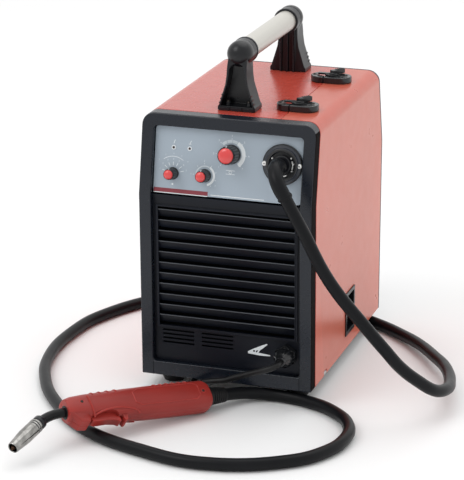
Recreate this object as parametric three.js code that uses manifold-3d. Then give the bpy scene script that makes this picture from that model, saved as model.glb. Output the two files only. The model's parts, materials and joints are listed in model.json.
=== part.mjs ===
// Compact wire-feed welding machine with its torch and earth lead. Millimetres, +Z up, floor at z = 0, front facing -Y.
import * as THREE from 'three';
import { mergeVertices } from 'three/addons/utils/BufferGeometryUtils.js';
import Module from 'manifold-3d';

const wasm = await Module();
wasm.setup();

// ---- Driving dimensions ----
const BODY_WIDTH = 230;
const FOOT_HEIGHT = 20;
const TOP_Z = 370;
const KINK_Z = 266;
const FRONT = { bottom: -168, kink: -173, top: -155 };
const REAR = { bottom: 173, kink: 173, top: 149 };
const CORNER_RADIUS = 16;
const BEZEL_DEPTH = 20;
const REAR_THICKNESS = 4;
const SHEET = 1.5;
const GAP = 0.3;
const OPENING = { half: 99, bottom: 39, top: 354, radius: 5 };
const PANEL_INSET = 8;
const SEAM_X = 62;
const DIVIDER_X = -6;

const HANDLE = { x: -2, z: 441.5, midY: 8, halfSpan: 112, tubeRadius: 14, collarRadius: 16.5 };
const LATCH = { x: 69.5, width: 30, height: 8.5, stations: { front: -85, rear: 70 } };
const HINGE = { x: 112.6, z: 22.4, radius: 2.4, stations: [-95, 95], length: 12 };
const PULL = { y: 14, z: 70, width: 38, height: 55, depth: 13 };
const FLANGE = { x: 72.4, up: 52.1, radius: 26, bore: 17.2 };
const KNOBS = {
  knob_voltage: { x: 3.5, up: 58.9, radius: 12, height: 24 },
  knob_wire_speed: { x: -72.8, up: 28.2, radius: 7.4, height: 19 },
  knob_mode: { x: -30, up: 29, radius: 8, height: 19 },
};
const LOUVRE = { half: 92, bottom: 88.5, top: 250, count: 11, pitch: 14.36, firstLip: 246.5 };
const FOOT = { x: 85.5, y: 125, topRadius: 20, bottomRadius: 13 };

const SPOOL = { y: 50, z: 140, radius: 100, x0: 22, x1: 76, bore: 25.5 };
const FEED = { x: 72.4, y: -85, wireZ: 304, driveRadius: 14, pressureRadius: 10 };
const ARM_PIVOT = { y: -56, z: 322 };
const FAN = { x: -60, z: 150, size: 102, bore: 47 };
const SWITCH = { x: 60, z: 235, width: 19, height: 27, axisY: 168, tilt: 8 };
const MAINS = { x: 70, z: 60 };
const GAS = { x: 70, z: 98 };

const TORCH = {
  rear: [-8.9, -220.9, 19.7], heading: 230.25, rise: 6.3, roll: 36, length: 204, bend: 33.3, neck: [43, 12.8],
};
const TORCH_CABLE_RADIUS = 8;
const EARTH_CABLE_RADIUS = 4;
const EARTH = { x: 81, z: 67 };
const COIL = { x: -81, y: 280, radius: 48, halfWidth: 12, height: 16.4 };
const CLAMP = { x: -212, y: 303.5, width: 22 };

const SLEEVE_ROUTE = [
  [72.4, -175.6, 320], [72.8, -186, 322.6], [74.5, -197, 321], [78.5, -206.5, 313.5],
  [85, -212, 303], [92.6, -213, 291.5],
];
const TORCH_CABLE_ROUTE = [
  [93, -213.15, 290.8], [117, -218, 252.5], [151, -220, 194], [201, -216, 133], [222.5, -210, 106],
  [239.5, -198, 81], [257.5, -182, 60], [274, -160, 41], [282, -130, 31.6], [278, -88, 25],
  [259, -30, 21.5], [233.5, 15, 17.6], [197, 70, 12.5], [165, 105, 9.3], [134, 131, 8.3],
  [66, 169, 8.3], [10, 190, 8.3], [-45, 198, 8.3], [-100, 194, 8.3], [-150, 178, 8.3],
  [-195, 149, 8.3], [-257, 49, 8.3], [-271, -20, 8.3], [-266, -121, 8.3], [-236, -206, 8.3],
  [-193, -273, 8.3], [-128, -341, 8.3], [-39, -382, 8.3], [45, -396, 8.3], [143, -358, 8.3],
  [176, -319, 8.3], [189, -272, 8.3], [181, -227, 8.3], [152, -191, 8.3], [113, -169.5, 8.3],
  [73, -161.6, 8.4], [55.1, -163.5, 9.4], [36.8, -171.2, 11.6], [21.6, -184.3, 14.4], [9.1, -199.3, 16.6],
];
const EARTH_FRONT_ROUTE = [
  [81, -193.4, 67], [81, -199, 66.9], [77, -207, 65.2], [68.5, -210.5, 62], [58, -208.5, 57.6],
  [45, -201, 51], [31.5, -193.5, 43.5], [18, -188.5, 37], [5.3, -186, 31], [-7, -185, 28],
  [-18, -184, 25.5], [-32, -180, 20], [-44, -170, 13.5], [-52, -156, 8], [-55.5, -140, 5],
  [-56, -120, 4.4], [-56, 0, 4.4], [-56, 100, 4.4], [-55, 140, 4.9], [-52, 158, 7.6],
  [-48, 174, 13], [-44, 189, 19], [-40, 201, 21], [-36, 213, 18.6], [-32.5, 226, 10],
  [-31, 239, 5.4],
];
const EARTH_TAIL_ROUTE = [
  [-123, 328, 12.3], [-132, 328, 12.1], [-142, 328, 11.6], [-151.6, 328, 11.4],
];

// ---- Materials ----
function material(colour, roughness, metalness) {
  return new THREE.MeshStandardMaterial({ color: colour, roughness, metalness });
}
const RED_PAINT = material(0xa8281f, 0.45, 0.1);
const BLACK_PLASTIC = material(0x26292c, 0.5, 0);
const DARK_PANEL = material(0x1b1d20, 0.6, 0);
const GREY_PANEL = material(0x96a3ac, 0.5, 0);
const KNOB_PLASTIC = material(0x1e2022, 0.4, 0);
const SATIN_TUBE = material(0xccc6ba, 0.35, 0.6);
const RUBBER = material(0x18191b, 0.8, 0);
const TORCH_RED = material(0x9c2f2b, 0.45, 0);
const CHROME = material(0xc9ccd0, 0.15, 1);
const COPPER = material(0xb87352, 0.35, 1);
const BRASS = material(0xb99a4e, 0.3, 1);
const STEEL = material(0x9a9fa4, 0.4, 0.9);
const ZINC_SHEET = material(0xa9adb0, 0.5, 0.8);
const BOARD_GREEN = material(0x1f5a3a, 0.6, 0);
const ALUMINIUM = material(0xb4b8bb, 0.4, 0.9);
const SPOOL_PLASTIC = material(0x30343a, 0.5, 0);
const WIRE_COPPER = material(0xb0744c, 0.35, 0.9);

// ---- Geometry helpers ----
const AXES = { x: new THREE.Vector3(1, 0, 0), y: new THREE.Vector3(0, 1, 0), z: new THREE.Vector3(0, 0, 1) };

function toSolid(geometry) {
  const bare = geometry.index ? geometry.toNonIndexed() : geometry.clone();
  bare.deleteAttribute('normal');
  bare.deleteAttribute('uv');
  const merged = mergeVertices(bare, 1e-4);
  return new wasm.Manifold(new wasm.Mesh({
    numProp: 3,
    vertProperties: new Float32Array(merged.attributes.position.array),
    triVerts: new Uint32Array(merged.index.array),
  }));
}

function toGeometry(solid) {
  const mesh = solid.getMesh();
  const geometry = new THREE.BufferGeometry();
  geometry.setAttribute('position', new THREE.BufferAttribute(new Float32Array(mesh.vertProperties), 3));
  geometry.setIndex(new THREE.BufferAttribute(new Uint32Array(mesh.triVerts), 1));
  return geometry;
}

function union(...geometries) {
  const joined = geometries.map(toSolid).reduce((total, next) => total.add(next));
  return toGeometry(joined);
}

function cut(geometry, ...tools) {
  const left = tools.map(toSolid).reduce((total, tool) => total.subtract(tool), toSolid(geometry));
  return toGeometry(left);
}

function common(geometry, other) {
  return toGeometry(toSolid(geometry).intersect(toSolid(other)));
}

function box(x0, x1, y0, y1, z0, z1) {
  const geometry = new THREE.BoxGeometry(x1 - x0, y1 - y0, z1 - z0);
  return geometry.translate((x0 + x1) / 2, (y0 + y1) / 2, (z0 + z1) / 2);
}

// A solid of revolution about the named axis; the profile lists [radius, position along the axis].
function revolve(profile, axis, centre = [0, 0, 0], segments = 24) {
  const points = profile.map(([radius, along]) => new THREE.Vector2(radius, along));
  const geometry = new THREE.LatheGeometry(points, segments);
  if (axis === 'x') geometry.rotateZ(-Math.PI / 2);
  if (axis === 'z') geometry.rotateX(Math.PI / 2);
  return geometry.translate(...centre);
}

function cylinder(radius, from, to, axis, centre, segments = 24) {
  return revolve([[0, from], [radius, from], [radius, to], [0, to]], axis, centre, segments);
}

function ring(inner, outer, from, to, axis, centre, segments = 32) {
  const profile = [[inner, from], [outer, from], [outer, to], [inner, to], [inner, from]];
  return revolve(profile, axis, centre, segments);
}

function shapeOf(points) {
  return new THREE.Shape(points.map(([u, v]) => new THREE.Vector2(u, v)));
}

function asShape(outline) {
  return Array.isArray(outline) ? shapeOf(outline) : outline;
}

// Extrude an outline drawn in Y and Z along X, or one drawn in X and Z along Y, or one drawn in X and Y along Z.
function prismX(outline, x0, x1, segments = 6) {
  const geometry = new THREE.ExtrudeGeometry(asShape(outline), {
    depth: x1 - x0, bevelEnabled: false, curveSegments: segments,
  });
  return geometry.applyMatrix4(new THREE.Matrix4().makeBasis(AXES.y, AXES.z, AXES.x)).translate(x0, 0, 0);
}

function prismY(outline, y0, y1, segments = 6) {
  const geometry = new THREE.ExtrudeGeometry(asShape(outline), {
    depth: y1 - y0, bevelEnabled: false, curveSegments: segments,
  });
  return geometry.rotateX(Math.PI / 2).translate(0, y1, 0);
}

function prismZ(outline, z0, z1, segments = 6) {
  const geometry = new THREE.ExtrudeGeometry(asShape(outline), {
    depth: z1 - z0, bevelEnabled: false, curveSegments: segments,
  });
  return geometry.translate(0, 0, z0);
}

function roundedRect(u0, u1, v0, v1, radius) {
  const shape = new THREE.Shape();
  shape.moveTo(u0 + radius, v0);
  shape.lineTo(u1 - radius, v0);
  shape.absarc(u1 - radius, v0 + radius, radius, -Math.PI / 2, 0);
  shape.lineTo(u1, v1 - radius);
  shape.absarc(u1 - radius, v1 - radius, radius, 0, Math.PI / 2);
  shape.lineTo(u0 + radius, v1);
  shape.absarc(u0 + radius, v1 - radius, radius, Math.PI / 2, Math.PI);
  shape.lineTo(u0, v0 + radius);
  shape.absarc(u0 + radius, v0 + radius, radius, Math.PI, Math.PI * 1.5);
  return shape;
}

function tube(route, radius, steps, sides = 8) {
  const section = new THREE.Shape();
  section.absarc(0, 0, radius, 0, Math.PI * 2);
  const path = new THREE.CatmullRomCurve3(route.map((point) => new THREE.Vector3(...point)), false, 'centripetal');
  return new THREE.ExtrudeGeometry(section, {
    steps, extrudePath: path, bevelEnabled: false, curveSegments: sides / 2,
  });
}

const group = new THREE.Group();
group.name = 'mig_welding_machine';

function addPart(name, geometry, look, parent = group) {
  const mesh = new THREE.Mesh(geometry, look);
  mesh.name = name;
  parent.add(mesh);
  return mesh;
}

// ---- Body outline ----
// The end profile seen from the front: a rectangle with rounded top corners.
function bodyOutline(inset = 0) {
  const half = BODY_WIDTH / 2 - inset;
  const radius = CORNER_RADIUS - inset;
  const shape = new THREE.Shape();
  shape.moveTo(-half, FOOT_HEIGHT + inset);
  shape.lineTo(half, FOOT_HEIGHT + inset);
  shape.lineTo(half, TOP_Z - inset - radius);
  shape.absarc(half - radius, TOP_Z - inset - radius, radius, 0, Math.PI / 2);
  shape.lineTo(-half + radius, TOP_Z - inset);
  shape.absarc(-half + radius, TOP_Z - inset - radius, radius, Math.PI / 2, Math.PI);
  return shape;
}

// The side profile between a plane set back from the front face and one set in from the rear face.
function sideProfile(frontInset, rearInset) {
  return [
    [FRONT.bottom + frontInset, 0], [REAR.bottom - rearInset, 0],
    [REAR.bottom - rearInset, FOOT_HEIGHT], [REAR.kink - rearInset, KINK_Z], [REAR.top - rearInset, TOP_Z],
    [FRONT.top + frontInset, TOP_Z], [FRONT.kink + frontInset, KINK_Z], [FRONT.bottom + frontInset, FOOT_HEIGHT],
  ];
}

// A band of even depth that follows the front face.
function frontBand(from, to) {
  return [
    [FRONT.bottom + from, FOOT_HEIGHT], [FRONT.bottom + to, FOOT_HEIGHT], [FRONT.kink + to, KINK_Z],
    [FRONT.top + to, TOP_Z], [FRONT.top + from, TOP_Z], [FRONT.kink + from, KINK_Z],
  ];
}

function rearBand(from, to) {
  return [
    [REAR.bottom - to, FOOT_HEIGHT], [REAR.bottom - from, FOOT_HEIGHT], [REAR.kink - from, KINK_Z],
    [REAR.top - from, TOP_Z], [REAR.top - to, TOP_Z], [REAR.kink - to, KINK_Z],
  ];
}

const HALF = BODY_WIDTH / 2;
const SKIN_FRONT = BEZEL_DEPTH + GAP;
const SKIN_REAR = REAR_THICKNESS + GAP;

// ---- Chassis and covers ----
function basePan() {
  const left = -HALF + SHEET + GAP;
  const right = HINGE.x - HINGE.radius - 2;
  const front = FRONT.bottom + SKIN_FRONT + 0.5;
  const rear = REAR.bottom - SKIN_REAR;
  const rim = FOOT_HEIGHT + 12;
  const pieces = [
    box(left, right, front, rear, FOOT_HEIGHT, FOOT_HEIGHT + SHEET),
    box(left, left + SHEET, front, rear, FOOT_HEIGHT, rim),
    box(right - SHEET, right, front, rear, FOOT_HEIGHT, rim),
    box(left, right, front, front + SHEET, FOOT_HEIGHT, rim),
    box(left, right, rear - SHEET, rear, FOOT_HEIGHT, rim),
  ];
  for (const station of HINGE.stations) {
    pieces.push(cylinder(HINGE.radius, station - HINGE.length, station, 'y', [HINGE.x, 0, HINGE.z], 16));
    pieces.push(box(right - SHEET, HINGE.x, station - HINGE.length, station, FOOT_HEIGHT, FOOT_HEIGHT + SHEET));
  }
  return union(...pieces);
}

function topCover() {
  const radius = CORNER_RADIUS;
  const bottom = FOOT_HEIGHT + 0.6;
  const profile = new THREE.Shape();
  profile.moveTo(-HALF, bottom);
  profile.lineTo(-HALF + SHEET, bottom);
  profile.lineTo(-HALF + SHEET, TOP_Z - radius);
  profile.absarc(-HALF + radius, TOP_Z - radius, radius - SHEET, Math.PI, Math.PI / 2, true);
  profile.lineTo(SEAM_X - GAP, TOP_Z - SHEET);
  profile.lineTo(SEAM_X - GAP, TOP_Z);
  profile.lineTo(-HALF + radius, TOP_Z);
  profile.absarc(-HALF + radius, TOP_Z - radius, radius, Math.PI / 2, Math.PI);
  return common(prismY(profile, -200, 200), prismX(sideProfile(SKIN_FRONT, SKIN_REAR), -HALF - 5, HALF + 5));
}

function sideDoor() {
  const radius = CORNER_RADIUS;
  const bottom = FOOT_HEIGHT + 0.6;
  const profile = new THREE.Shape();
  profile.moveTo(HALF, bottom);
  profile.lineTo(HALF, TOP_Z - radius);
  profile.absarc(HALF - radius, TOP_Z - radius, radius, 0, Math.PI / 2);
  profile.lineTo(SEAM_X + GAP, TOP_Z);
  profile.lineTo(SEAM_X + GAP, TOP_Z - SHEET);
  profile.lineTo(HALF - radius, TOP_Z - SHEET);
  profile.absarc(HALF - radius, TOP_Z - radius, radius - SHEET, Math.PI / 2, 0, true);
  profile.lineTo(HALF - SHEET, bottom);
  const skin = common(prismY(profile, -200, 200), prismX(sideProfile(SKIN_FRONT, SKIN_REAR), 0, HALF + 5));
  const notches = HINGE.stations.map((station) => box(
    HINGE.x - 5, HALF + 5, station - HINGE.length - 0.5, station + 0.3, 0, HINGE.z + HINGE.radius + 2,
  ));
  const pullHole = box(
    HALF - 10, HALF + 10, PULL.y - PULL.width / 2, PULL.y + PULL.width / 2,
    PULL.z - PULL.height / 2, PULL.z + PULL.height / 2,
  );
  const knuckles = HINGE.stations.map((station) => cylinder(
    HINGE.radius, station + 0.5, station + 0.5 + HINGE.length, 'y', [HINGE.x, 0, HINGE.z], 16,
  ));
  return union(cut(skin, ...notches, pullHole), ...knuckles);
}

function doorPull() {
  const { y, z, width, height, depth } = PULL;
  const wall = 2;
  const inner = { y0: y - width / 2 + GAP, y1: y + width / 2 - GAP, z0: z - height / 2 + GAP, z1: z + height / 2 - GAP };
  const flange = box(HALF + GAP, HALF + 1.6, inner.y0 - 3, inner.y1 + 3, inner.z0 - 3, inner.z1 + 3);
  const cup = box(HALF - depth, HALF + 1, inner.y0, inner.y1, inner.z0, inner.z1);
  const hollow = box(
    HALF - depth + wall, HALF + 5, inner.y0 + wall, inner.y1 - wall, inner.z0 + wall, inner.z1 - wall,
  );
  return cut(union(flange, cup), hollow);
}

// The rounded window in the bezel that the panel and the grille sit in.
function openingOutline(inset) {
  const { half, bottom, top, radius } = OPENING;
  return roundedRect(inset - half, half - inset, bottom + inset, top - inset, radius - inset);
}

function frontBezel() {
  const shell = common(prismX(frontBand(0, BEZEL_DEPTH), -HALF - 5, HALF + 5), prismY(bodyOutline(), -200, -100));
  return cut(shell, prismY(openingOutline(0), -200, -100, 3));
}

function frontGrille() {
  const band = prismX(frontBand(PANEL_INSET, PANEL_INSET + 3), -HALF, HALF);
  const field = common(band, prismY(openingOutline(GAP), -200, -100, 3));
  const plate = common(field, box(-HALF, HALF, -200, -100, 0, KINK_Z - GAP));
  const raised = common(
    prismX(frontBand(PANEL_INSET - 2, PANEL_INSET + 1), -HALF, HALF),
    box(-LOUVRE.half - 3, LOUVRE.half + 3, -200, -100, LOUVRE.bottom - 3, LOUVRE.top + 3),
  );
  const window = box(-LOUVRE.half, LOUVRE.half, -200, -100, LOUVRE.bottom, LOUVRE.top);
  const holes = [window, cylinder(11, -200, -100, 'y', [EARTH.x, 0, EARTH.z])];
  for (const startX of [-88, -34.7]) {
    for (let row = 0; row < 4; row += 1) {
      const slotZ = 63.6 + row * 5.6;
      holes.push(box(startX, startX + 43, -200, -100, slotZ, slotZ + 2.4));
    }
  }
  const slats = [];
  for (let index = 0; index < LOUVRE.count; index += 1) {
    const lip = LOUVRE.firstLip - index * LOUVRE.pitch;
    const face = faceY(lip) + PANEL_INSET - 1.5;
    const slat = [[face, lip], [face + 5, lip - 11], [face + 7.5, lip - 11], [face + 7.5, lip - 4], [face + 4, lip]];
    slats.push(prismX(slat, -LOUVRE.half - 1, LOUVRE.half + 1));
  }
  return union(cut(union(plate, raised), ...holes), ...slats);
}

// Y of the front face at a height below the kink.
function faceY(height) {
  return FRONT.kink + (FRONT.bottom - FRONT.kink) * (KINK_Z - height) / (KINK_Z - FOOT_HEIGHT);
}

function rearPanel() {
  const sheet = common(prismX(rearBand(0, REAR_THICKNESS), -HALF - 5, HALF + 5), prismY(bodyOutline(), 100, 200));
  const holes = [
    box(
      SWITCH.x - SWITCH.width / 2 - 0.8, SWITCH.x + SWITCH.width / 2 + 0.8, 160, 180,
      SWITCH.z - SWITCH.height / 2 - 0.8, SWITCH.z + SWITCH.height / 2 + 0.8,
    ),
    cylinder(8.3, 160, 180, 'y', [MAINS.x, 0, MAINS.z]),
    cylinder(5.3, 160, 180, 'y', [GAS.x, 0, GAS.z]),
  ];
  const slotCount = 9;
  for (let row = 0; row < slotCount; row += 1) {
    const height = FAN.z + (row - (slotCount - 1) / 2) * 11;
    const half = Math.sqrt(FAN.bore ** 2 - (height - FAN.z) ** 2);
    holes.push(box(FAN.x - half, FAN.x + half, 160, 180, height - 3, height + 3));
  }
  return cut(sheet, ...holes);
}

function dividerPanel() {
  const sheet = prismX(sideProfile(SKIN_FRONT + 6, SKIN_REAR + 2.5), DIVIDER_X, DIVIDER_X + SHEET);
  return common(sheet, box(-50, 50, -200, 200, FOOT_HEIGHT + SHEET + GAP, TOP_Z - SHEET - GAP));
}

function foot(x, y) {
  const profile = [
    [0, 0], [FOOT.bottomRadius, 0], [FOOT.bottomRadius + 1, 1.5], [FOOT.topRadius, FOOT_HEIGHT - 4],
    [FOOT.topRadius, FOOT_HEIGHT - GAP], [0, FOOT_HEIGHT - GAP],
  ];
  return revolve(profile, 'z', [x, y, 0], 20);
}

addPart('base_pan', basePan(), ZINC_SHEET);
addPart('top_cover', topCover(), RED_PAINT);
addPart('side_door', sideDoor(), RED_PAINT);
addPart('door_pull', doorPull(), BLACK_PLASTIC);
addPart('front_bezel', frontBezel(), BLACK_PLASTIC);
addPart('front_grille', frontGrille(), DARK_PANEL);
addPart('rear_panel', rearPanel(), BLACK_PLASTIC);
addPart('divider_panel', dividerPanel(), ZINC_SHEET);
for (const [end, sign] of [['front', -1], ['rear', 1]]) {
  addPart(`foot_${end}_left`, foot(-FOOT.x, sign * FOOT.y), RUBBER);
  addPart(`foot_${end}_right`, foot(FOOT.x, sign * FOOT.y), RUBBER);
}

// ---- Carrying handle ----
// One bracket in its own frame: the tube runs away along +Y, and the cavity opens at -Y.
function handleBracket() {
  const rise = HANDLE.z - TOP_Z;
  const { collarRadius, tubeRadius } = HANDLE;
  const head = revolve([
    [0, -14.5], [7.5, -12.6], [12.5, -7.5], [14.5, 0], [collarRadius, 3], [collarRadius, 24], [0, 24],
  ], 'y', [0, 0, rise], 20);
  const flank = prismX([
    [-14, GAP], [15, GAP], [15, rise], [-5, rise], [-9, rise - 5], [-12, rise - 12], [-13.6, rise - 21], [-14, rise - 30],
  ], -30, 30);
  const column = common(prismY([
    [-25, GAP], [25, GAP], [25, 5], [23, 8], [15, 34], [13.4, 46], [12.6, rise], [-12.6, rise],
    [-13.4, 46], [-15, 34], [-23, 8], [-25, 5],
  ], -14, 15), flank);
  const bore = cylinder(tubeRadius + GAP, 9, 30, 'y', [0, 0, rise], 24);
  const cavity = prismY([
    [-21, 6], [21, 6], [12.5, 34], [10.6, 46], [9.8, rise - 18], [7.5, rise - 13], [3, rise - 10.5], [-3, rise - 10.5],
    [-7.5, rise - 13], [-9.8, rise - 18], [-10.6, 46], [-12.5, 34],
  ], -20, 4);
  const ribs = [-9, 0, 9].map((x) => box(x - 1.5, x + 1.5, 14, 19, GAP, rise - 13));
  const bosses = [-14, 14].map((x) => cylinder(4, 4, 10, 'z', [x, -4, 0], 12));
  return cut(union(cut(union(head, column, ...ribs), cavity), ...bosses), bore);
}

function placeBracket(name, y, turn) {
  const bracket = addPart(name, handleBracket(), BLACK_PLASTIC);
  bracket.position.set(HANDLE.x, y, TOP_Z);
  bracket.rotation.z = turn;
}

placeBracket('handle_bracket_front', HANDLE.midY - HANDLE.halfSpan, 0);
placeBracket('handle_bracket_rear', HANDLE.midY + HANDLE.halfSpan, Math.PI);
addPart('handle_tube', cylinder(
  HANDLE.tubeRadius, HANDLE.midY - HANDLE.halfSpan + 10, HANDLE.midY + HANDLE.halfSpan - 10,
  'y', [HANDLE.x, 0, HANDLE.z], 24,
), SATIN_TUBE);

// ---- Door latches ----
// Half of a stadium: a block that runs from its flat side at `flat` to a round end.
function latchBlock(flat, tip, y) {
  const half = LATCH.width / 2;
  const side = Math.sign(tip - flat);
  const shape = new THREE.Shape();
  shape.moveTo(flat, y - half);
  shape.lineTo(tip - side * half, y - half);
  shape.absarc(tip - side * half, y, half, -Math.PI / 2, Math.PI / 2, side < 0);
  shape.lineTo(flat, y + half);
  return prismZ(shape, TOP_Z + GAP, TOP_Z + LATCH.height, 8);
}

function latchKeeper(y) {
  const block = latchBlock(SEAM_X - 0.5, 42, y);
  const notch = box(SEAM_X - 12, SEAM_X, y - 5, y + 15, TOP_Z + 3.5, TOP_Z + 20);
  return cut(block, notch);
}

function latchBase(y) {
  const block = latchBlock(SEAM_X + 0.5, 97, y);
  const seat = cylinder(8.4, TOP_Z + 4, TOP_Z + 20, 'z', [LATCH.x, y, 0], 20);
  const slot = box(84, 92, y - 6, y - 3, TOP_Z + 5, TOP_Z + 20);
  return cut(block, seat, slot);
}

// The lever turns about Z: a hub, a hooked tongue over the keeper and a raised grip.
function latchLever(y) {
  const hub = cylinder(8, TOP_Z + 4.3, TOP_Z + 10.5, 'z', [LATCH.x, y, 0], 20);
  const tongue = box(SEAM_X - 10, LATCH.x, y - 3, y + 3, TOP_Z + 9, TOP_Z + 11.5);
  const grip = box(0, 21, -3.2, 3.2, TOP_Z + 9, TOP_Z + 15);
  grip.rotateZ(THREE.MathUtils.degToRad(55)).translate(LATCH.x, y, 0);
  return union(hub, tongue, grip);
}

for (const [end, y] of Object.entries(LATCH.stations)) {
  addPart(`latch_keeper_${end}`, latchKeeper(y), BLACK_PLASTIC);
  addPart(`latch_base_${end}`, latchBase(y), BLACK_PLASTIC);
  addPart(`latch_lever_${end}`, latchLever(y), BLACK_PLASTIC);
}

// ---- Leaning control panel ----
// Its own frame: X across, Y into the machine, Z up the lean, with the panel's front face at y = 0.
const lean = Math.atan2(FRONT.top - FRONT.kink, TOP_Z - KINK_Z);
const panel = new THREE.Group();
panel.position.set(0, FRONT.kink + PANEL_INSET, KINK_Z);
panel.rotation.x = -lean;
group.add(panel);

function controlPanel() {
  const plate = prismY(roundedRect(-OPENING.half + 0.6, OPENING.half - 0.6, 2.4, 88.4, OPENING.radius), 0, 2.5, 3);
  const shafts = Object.values(KNOBS).map(({ x, up }) => cylinder(3.6, -5, 5, 'y', [x, 0, up], 12));
  const socket = cylinder(FLANGE.bore, -5, 5, 'y', [FLANGE.x, 0, FLANGE.up], 28);
  return cut(plate, ...shafts, socket);
}

function knob({ x, up, radius, height }) {
  return revolve([
    [0, -height], [radius - 1.8, -height], [radius - 0.6, -height + 1.2], [radius, -3.5],
    [radius + 0.6, -2.5], [radius + 0.6, -0.5], [3, -0.5], [3, 8], [0, 8],
  ], 'y', [x, 0, up], 24);
}

function controlBoard() {
  const board = box(-92, 24, 13, 14.6, 10, 80);
  const pots = Object.values(KNOBS).map(({ x, up }) => cylinder(8, 9, 13.5, 'y', [x, 0, up], 16));
  return union(board, ...pots);
}

function torchFlange() {
  const { x, up, radius, bore } = FLANGE;
  return revolve([
    [bore, -8], [bore + 3.5, -8], [bore + 4.5, -5.5], [radius - 1, -5], [radius, -4], [radius, -GAP],
    [bore, -GAP], [bore, -8],
  ], 'y', [x, 0, up], 32);
}

function torchConnector() {
  const { x, up, bore } = FLANGE;
  return revolve([
    [0, -11], [11.5, -11], [12.5, -10], [12.5, -4], [bore - GAP, -4], [bore - GAP, 14], [9, 14], [9, 24], [0, 24],
  ], 'y', [x, 0, up], 28);
}

addPart('control_panel', controlPanel(), GREY_PANEL, panel);
addPart('control_board', controlBoard(), BOARD_GREEN, panel);
addPart('torch_flange', torchFlange(), BLACK_PLASTIC, panel);
addPart('torch_connector', torchConnector(), BLACK_PLASTIC, panel);
for (const [name, size] of Object.entries(KNOBS)) addPart(name, knob(size), KNOB_PLASTIC, panel);

// ---- Wire feed compartment ----
function wireSpool() {
  const { radius, bore, x0, x1, y, z } = SPOOL;
  return revolve([
    [bore, x0], [radius, x0], [radius, x0 + 3], [bore + 4, x0 + 3], [bore + 4, x1 - 3], [radius, x1 - 3],
    [radius, x1], [bore, x1], [bore, x0],
  ], 'x', [0, y, z], 36);
}

function wireWinding() {
  const { bore, x0, x1, y, z } = SPOOL;
  return ring(bore + 4 + GAP, 84, x0 + 3 + GAP, x1 - 3 - GAP, 'x', [0, y, z], 36);
}

function spoolHub() {
  const { bore, x1, y, z } = SPOOL;
  const start = DIVIDER_X + SHEET + GAP;
  return revolve([
    [0, start], [32, start], [32, start + 4], [bore - 0.6, start + 6], [bore - 0.6, x1 + 4],
    [bore - 4, x1 + 8], [0, x1 + 8],
  ], 'x', [0, y, z], 24);
}

const PLATE_X = { from: 58, to: 62 };
const driveZ = FEED.wireZ - FEED.driveRadius - 0.2;
const pressureZ = FEED.wireZ + FEED.pressureRadius + 0.6;

function feederPlate() {
  const plate = prismX(roundedRect(-122, -46, 268, 338, 5), PLATE_X.from, PLATE_X.to, 3);
  const guide = cylinder(3.5, -4, 14, 'y', [0, 0, 0], 12);
  guide.rotateX(-lean).translate(FEED.x, -118, FEED.wireZ + 5.5);
  const bracket = box(PLATE_X.to - 1, FEED.x, -122, -112, FEED.wireZ - 6, FEED.wireZ + 3.5);
  return union(plate, guide, bracket);
}

function pressureArm() {
  const bar = prismX(roundedRect(-112, -49, 326, 333, 2), FEED.x - 8, FEED.x + 8, 2);
  const cheeks = [[-8, -5.5], [5.5, 8]].map(([from, to]) => box(
    FEED.x + from, FEED.x + to, FEED.y - 7, FEED.y + 7, pressureZ - 5, 327,
  ));
  const pivot = cylinder(5.5, PLATE_X.to + 0.5, FEED.x + 8, 'x', [0, ARM_PIVOT.y, ARM_PIVOT.z], 16);
  return union(bar, ...cheeks, pivot);
}

function tensionKnob() {
  return revolve([
    [0, 333.4], [5, 333.4], [5, 335], [7, 336], [7.3, 341.5], [5.5, 343], [0, 343],
  ], 'z', [FEED.x, -103, 0], 16);
}

addPart('spool_hub', spoolHub(), BLACK_PLASTIC);
addPart('wire_spool', wireSpool(), SPOOL_PLASTIC);
addPart('wire_winding', wireWinding(), WIRE_COPPER);
addPart('feeder_plate', feederPlate(), ZINC_SHEET);
addPart('feed_motor', union(
  cylinder(18, DIVIDER_X + SHEET + GAP, 44, 'x', [0, FEED.y, driveZ], 24),
  cylinder(21, 40, PLATE_X.from - GAP, 'x', [0, FEED.y, driveZ], 24),
), STEEL);
addPart('drive_roll', union(
  cylinder(FEED.driveRadius, FEED.x - 5, FEED.x + 5, 'x', [0, FEED.y, driveZ], 24),
  cylinder(6, PLATE_X.to + 0.5, FEED.x + 8, 'x', [0, FEED.y, driveZ], 16),
), STEEL);
addPart('pressure_arm', pressureArm(), BLACK_PLASTIC);
addPart('pressure_roll', cylinder(
  FEED.pressureRadius, FEED.x - 4.8, FEED.x + 4.8, 'x', [0, FEED.y, pressureZ], 20,
), STEEL);
addPart('tension_knob', tensionKnob(), BLACK_PLASTIC);

// ---- Power side ----
function transformer() {
  const core = box(-98, -24, -92, -22, FOOT_HEIGHT + SHEET + GAP, 96);
  const winding = box(-90, -32, -102, -12, 40, 78);
  return union(core, winding);
}

function heatsink() {
  const base = box(-102, -20, -100, 60, 208, 213);
  const fins = [];
  for (let index = 0; index < 9; index += 1) {
    const x = -101 + index * 9.8;
    fins.push(box(x, x + 2, -100, 60, 168, 209));
  }
  return union(base, ...fins);
}

function powerBoard() {
  const board = box(-108, -12, -120, 110, 214, 216);
  const capacitors = [-80, -50].map((x) => cylinder(13, 215.5, 262, 'z', [x, 60, 0], 16));
  const choke = ring(9, 22, 215.5, 236, 'z', [-60, -60, 0], 20);
  return union(board, ...capacitors, choke);
}

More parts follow.
